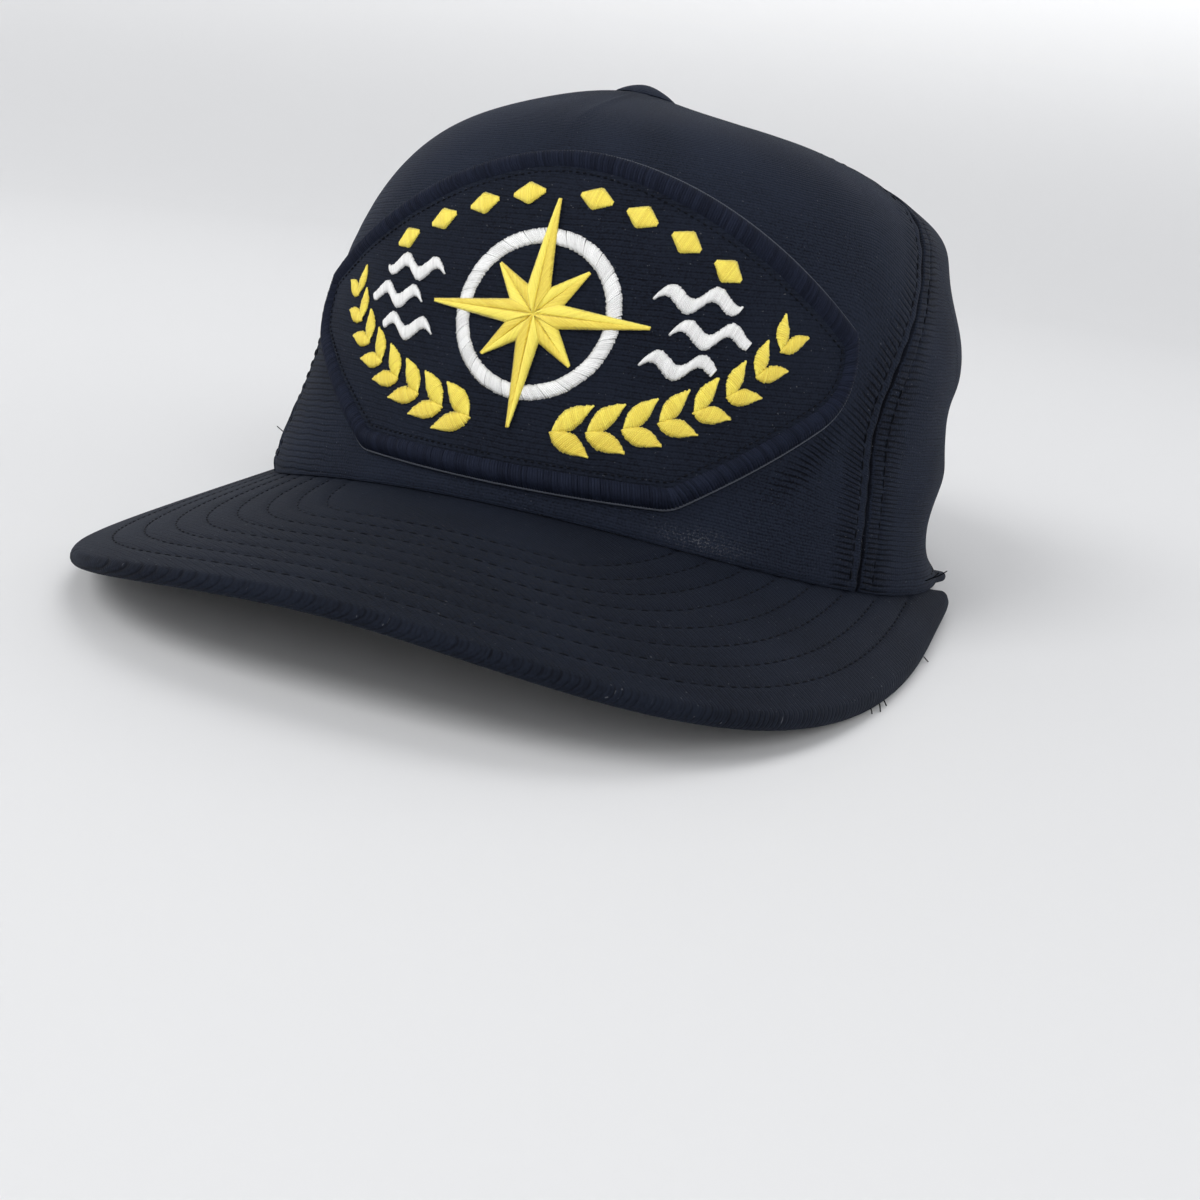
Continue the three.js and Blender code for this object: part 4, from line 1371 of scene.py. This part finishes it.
def addButton():
    clearSelection()
    bpy.ops.mesh.primitive_uv_sphere_add(segments=button["segments"], ring_count=button["rings"],
                                         radius=1)
    piece = bpy.context.object
    piece.name = piece.data.name = "topButton"
    x, y, z = readPoints(piece).T.astype(float)
    turn, wide = np.arctan2(y, x), np.hypot(x, y)
    dome = mix(button["skirt"], button["height"], np.maximum(z, 0) ** button["dome"])
    lift = np.where(z > 0, dome, button["skirt"] * (1 + z))
    gather = button["gather"] / button["radius"] * (1 + np.cos(button["gathers"] * turn))
    fold = 1 - gather * ease(wide, button["gatherFrom"], 1)
    spread = np.where((z < 0) & (wide >= 1e-4), wide ** button["under"], wide)
    radius = button["radius"] * spread * fold
    apex = crownOuter(0.0, 1.0)
    x, y = radius * np.cos(turn) + apex[0], radius * np.sin(turn) + apex[1]
    movePoints(piece, toFrame(np.stack([x, y, lift + button["seat"] + crownTopAt(x, y)], -1)))
    addFlat(piece, np.stack([x, y], -1))
    smooth(piece)
    return piece


finishPiece(addButton(), crownCloth, "cloth", "top_button")
print("strap and button made")


# Loose thread ends at the visor's corners and under its edge
tufts = {"radius": 0.14, "points": 7, "sides": 5, "bend": 0.5, "rootQ": 0.02, "underShare": 0.7,
         "spots": [(rootPsi - 1, 5), (-rootPsi + 1, 7), (rootPsi - 3, 4)],
         "edge": [(0.178, 1.3), (0.185, 1.9), (0.197, 1.4), (0.09, 1.3)]}


def addTufts():
    t = np.linspace(0, 1, tufts["points"])[:, None]
    paths = []

    def grow(root, length, out, bend):
        way, curl = unit(np.array(out)), np.array(bend) * tufts["bend"]
        paths.append(np.array(root) + (way * t + curl * t * t) * length)

    def either():
        return rng.uniform(-0.5, 0.5)

    for psi, length in tufts["spots"]:
        root = crownOuter(psi, tufts["rootQ"])
        grow(root, length, (math.copysign(1, psi), -0.3, 0.5),
             (either(), either(), rng.uniform(0.2, 0.7)))
    for share, length in tufts["edge"]:
        x, y = edgeAt(share)
        low = visorTop(x, y) - visorForm["thickness"] * tufts["underShare"]
        grow((x, y, low), length, (rng.uniform(0.3, 0.9), rng.uniform(-1, -0.6), -0.5),
             (either(), either(), -0.3))
    ups = np.tile([0.0, 0.1, 1.0], (len(paths), tufts["points"], 1))
    return addThreads("looseThreads", paths, ups, tufts["radius"], tufts["sides"])


finishPiece(addTufts(), thread["navy"], "cloth")


# Floor, light and camera
studio = {
    "floorRadius": 1.3, "wall": 1.0, "round": 1.4, "roundSteps": 10, "lip": 0.0001, "sink": 0.0002,
    "floor": (0.76, 0.762, 0.767), "patches": (0.74, 0.74, 0.74), "patchShare": 0.06,
    "glow": 0.62, "glowTop": 0.9, "aim": (0, 0, 0.05), "room": (0.93, 0.95, 1.0, 1.0),
    "roomLight": 0.3,
}
# Place, size and power of each light
lights = {
    "keyLight": ((-1.2, -1.3, 1.9), 1.4, 24), "fillLight": ((1.3, -1.2, 1.7), 1.4, 10),
    "topLight": ((-0.2, 0.9, 2.4), 1.6, 14),
}


def raiseEdge(height):
    bpy.ops.mesh.extrude_region_move(TRANSFORM_OT_translate={"value": (0, 0, height)})


def addFloor():
    clearSelection()
    bpy.ops.mesh.primitive_circle_add(vertices=96, radius=studio["floorRadius"], fill_type="NGON")
    floor = bpy.context.object
    floor.name = "floor"
    setMode("EDIT")
    selectAll()
    bpy.ops.mesh.inset(thickness=studio["lip"])
    selectAll("DESELECT")
    setMode("OBJECT")
    for vertex in floor.data.vertices:
        vertex.select = vertex.co.to_2d().length > studio["floorRadius"] - studio["lip"] / 2
    setMode("EDIT")
    bpy.ops.mesh.select_mode(type="VERT")
    steps = studio["roundSteps"]
    run = studio["round"] * math.pi / 2 / steps
    for step in range(steps):
        angle = math.pi / 2 * (step + 0.5) / steps
        raiseEdge(run * math.sin(angle))
        widest = max(vertex.co.to_2d().length for vertex in floor.data.vertices)
        grow = 1 + run * math.cos(angle) / widest
        bpy.ops.transform.resize(value=(grow, grow, 1))
    raiseEdge(studio["wall"])
    selectAll()
    bpy.ops.transform.translate(value=(0, 0, -studio["sink"]))
    setMode("OBJECT")
    bpy.ops.object.shade_smooth()
    n = Nodes("pale floor")
    place = n.objectPlace()
    blend = n.math("MULTIPLY", n.noise(place, 3.0, 0.0), studio["patchShare"])
    rise = n.between(n.parts(place)["Z"], 0.0, studio["glowTop"])
    n.material.cycles.emission_sampling = "NONE"
    floor.data.materials.append(n.set(
        colour=n.colours(blend, studio["floor"], studio["patches"]), roughness=0.9, specular=0.0,
        glow=n.math("MULTIPLY", rise, studio["glow"]), glowColour=(1.0, 1.0, 1.0, 1.0)))


def addLight(name, place, size, power):
    clearSelection()
    bpy.ops.object.light_add(type="AREA", location=place)
    light = bpy.context.object
    light.name = name
    light.data.shape, light.data.size, light.data.energy = "DISK", size, power
    way = Vector(studio["aim"]) - light.location
    light.rotation_euler = way.to_track_quat("-Z", "Y").to_euler()


view = {"azimuth": 18.15, "elevation": 17.03, "roll": 7.66, "distance": 397.5, "sensor": 36.0,
        "focalPixels": 1408.5, "framePixels": 1200.0, "target": (-1.69, 24.33, -20.27)}


def addCamera():
    a, e, r = (math.radians(view[key]) for key in ("azimuth", "elevation", "roll"))
    away = np.array([math.sin(a) * math.cos(e), -math.cos(a) * math.cos(e), math.sin(e)])
    right = np.array([math.cos(a), math.sin(a), 0])
    up = np.cross(away, right)
    turnedRight = right * math.cos(r) + up * math.sin(r)
    turnedUp = up * math.cos(r) - right * math.sin(r)
    clearSelection()
    bpy.ops.object.camera_add()
    camera = bpy.context.object
    turn = Matrix(np.stack([turnedRight, turnedUp, away], 1).tolist()).to_4x4()
    spot = (np.array(view["target"]) + away * view["distance"]) * mm
    camera.matrix_world = Matrix.Translation(spot.tolist()) @ turn
    camera.data.sensor_width = view["sensor"]
    camera.data.lens = view["sensor"] * view["focalPixels"] / view["framePixels"]
    camera.data.clip_start = 0.01
    bpy.context.scene.camera = camera


addFloor()
for name, form in lights.items():
    addLight(name, *form)
world = bpy.data.worlds.new("pale room")
world.use_nodes = True
background = world.node_tree.nodes["Background"]
background.inputs["Color"].default_value = studio["room"]
background.inputs["Strength"].default_value = studio["roomLight"]
bpy.context.scene.world = world
bpy.context.scene.view_settings.view_transform = "Standard"
addCamera()
print("studio made")
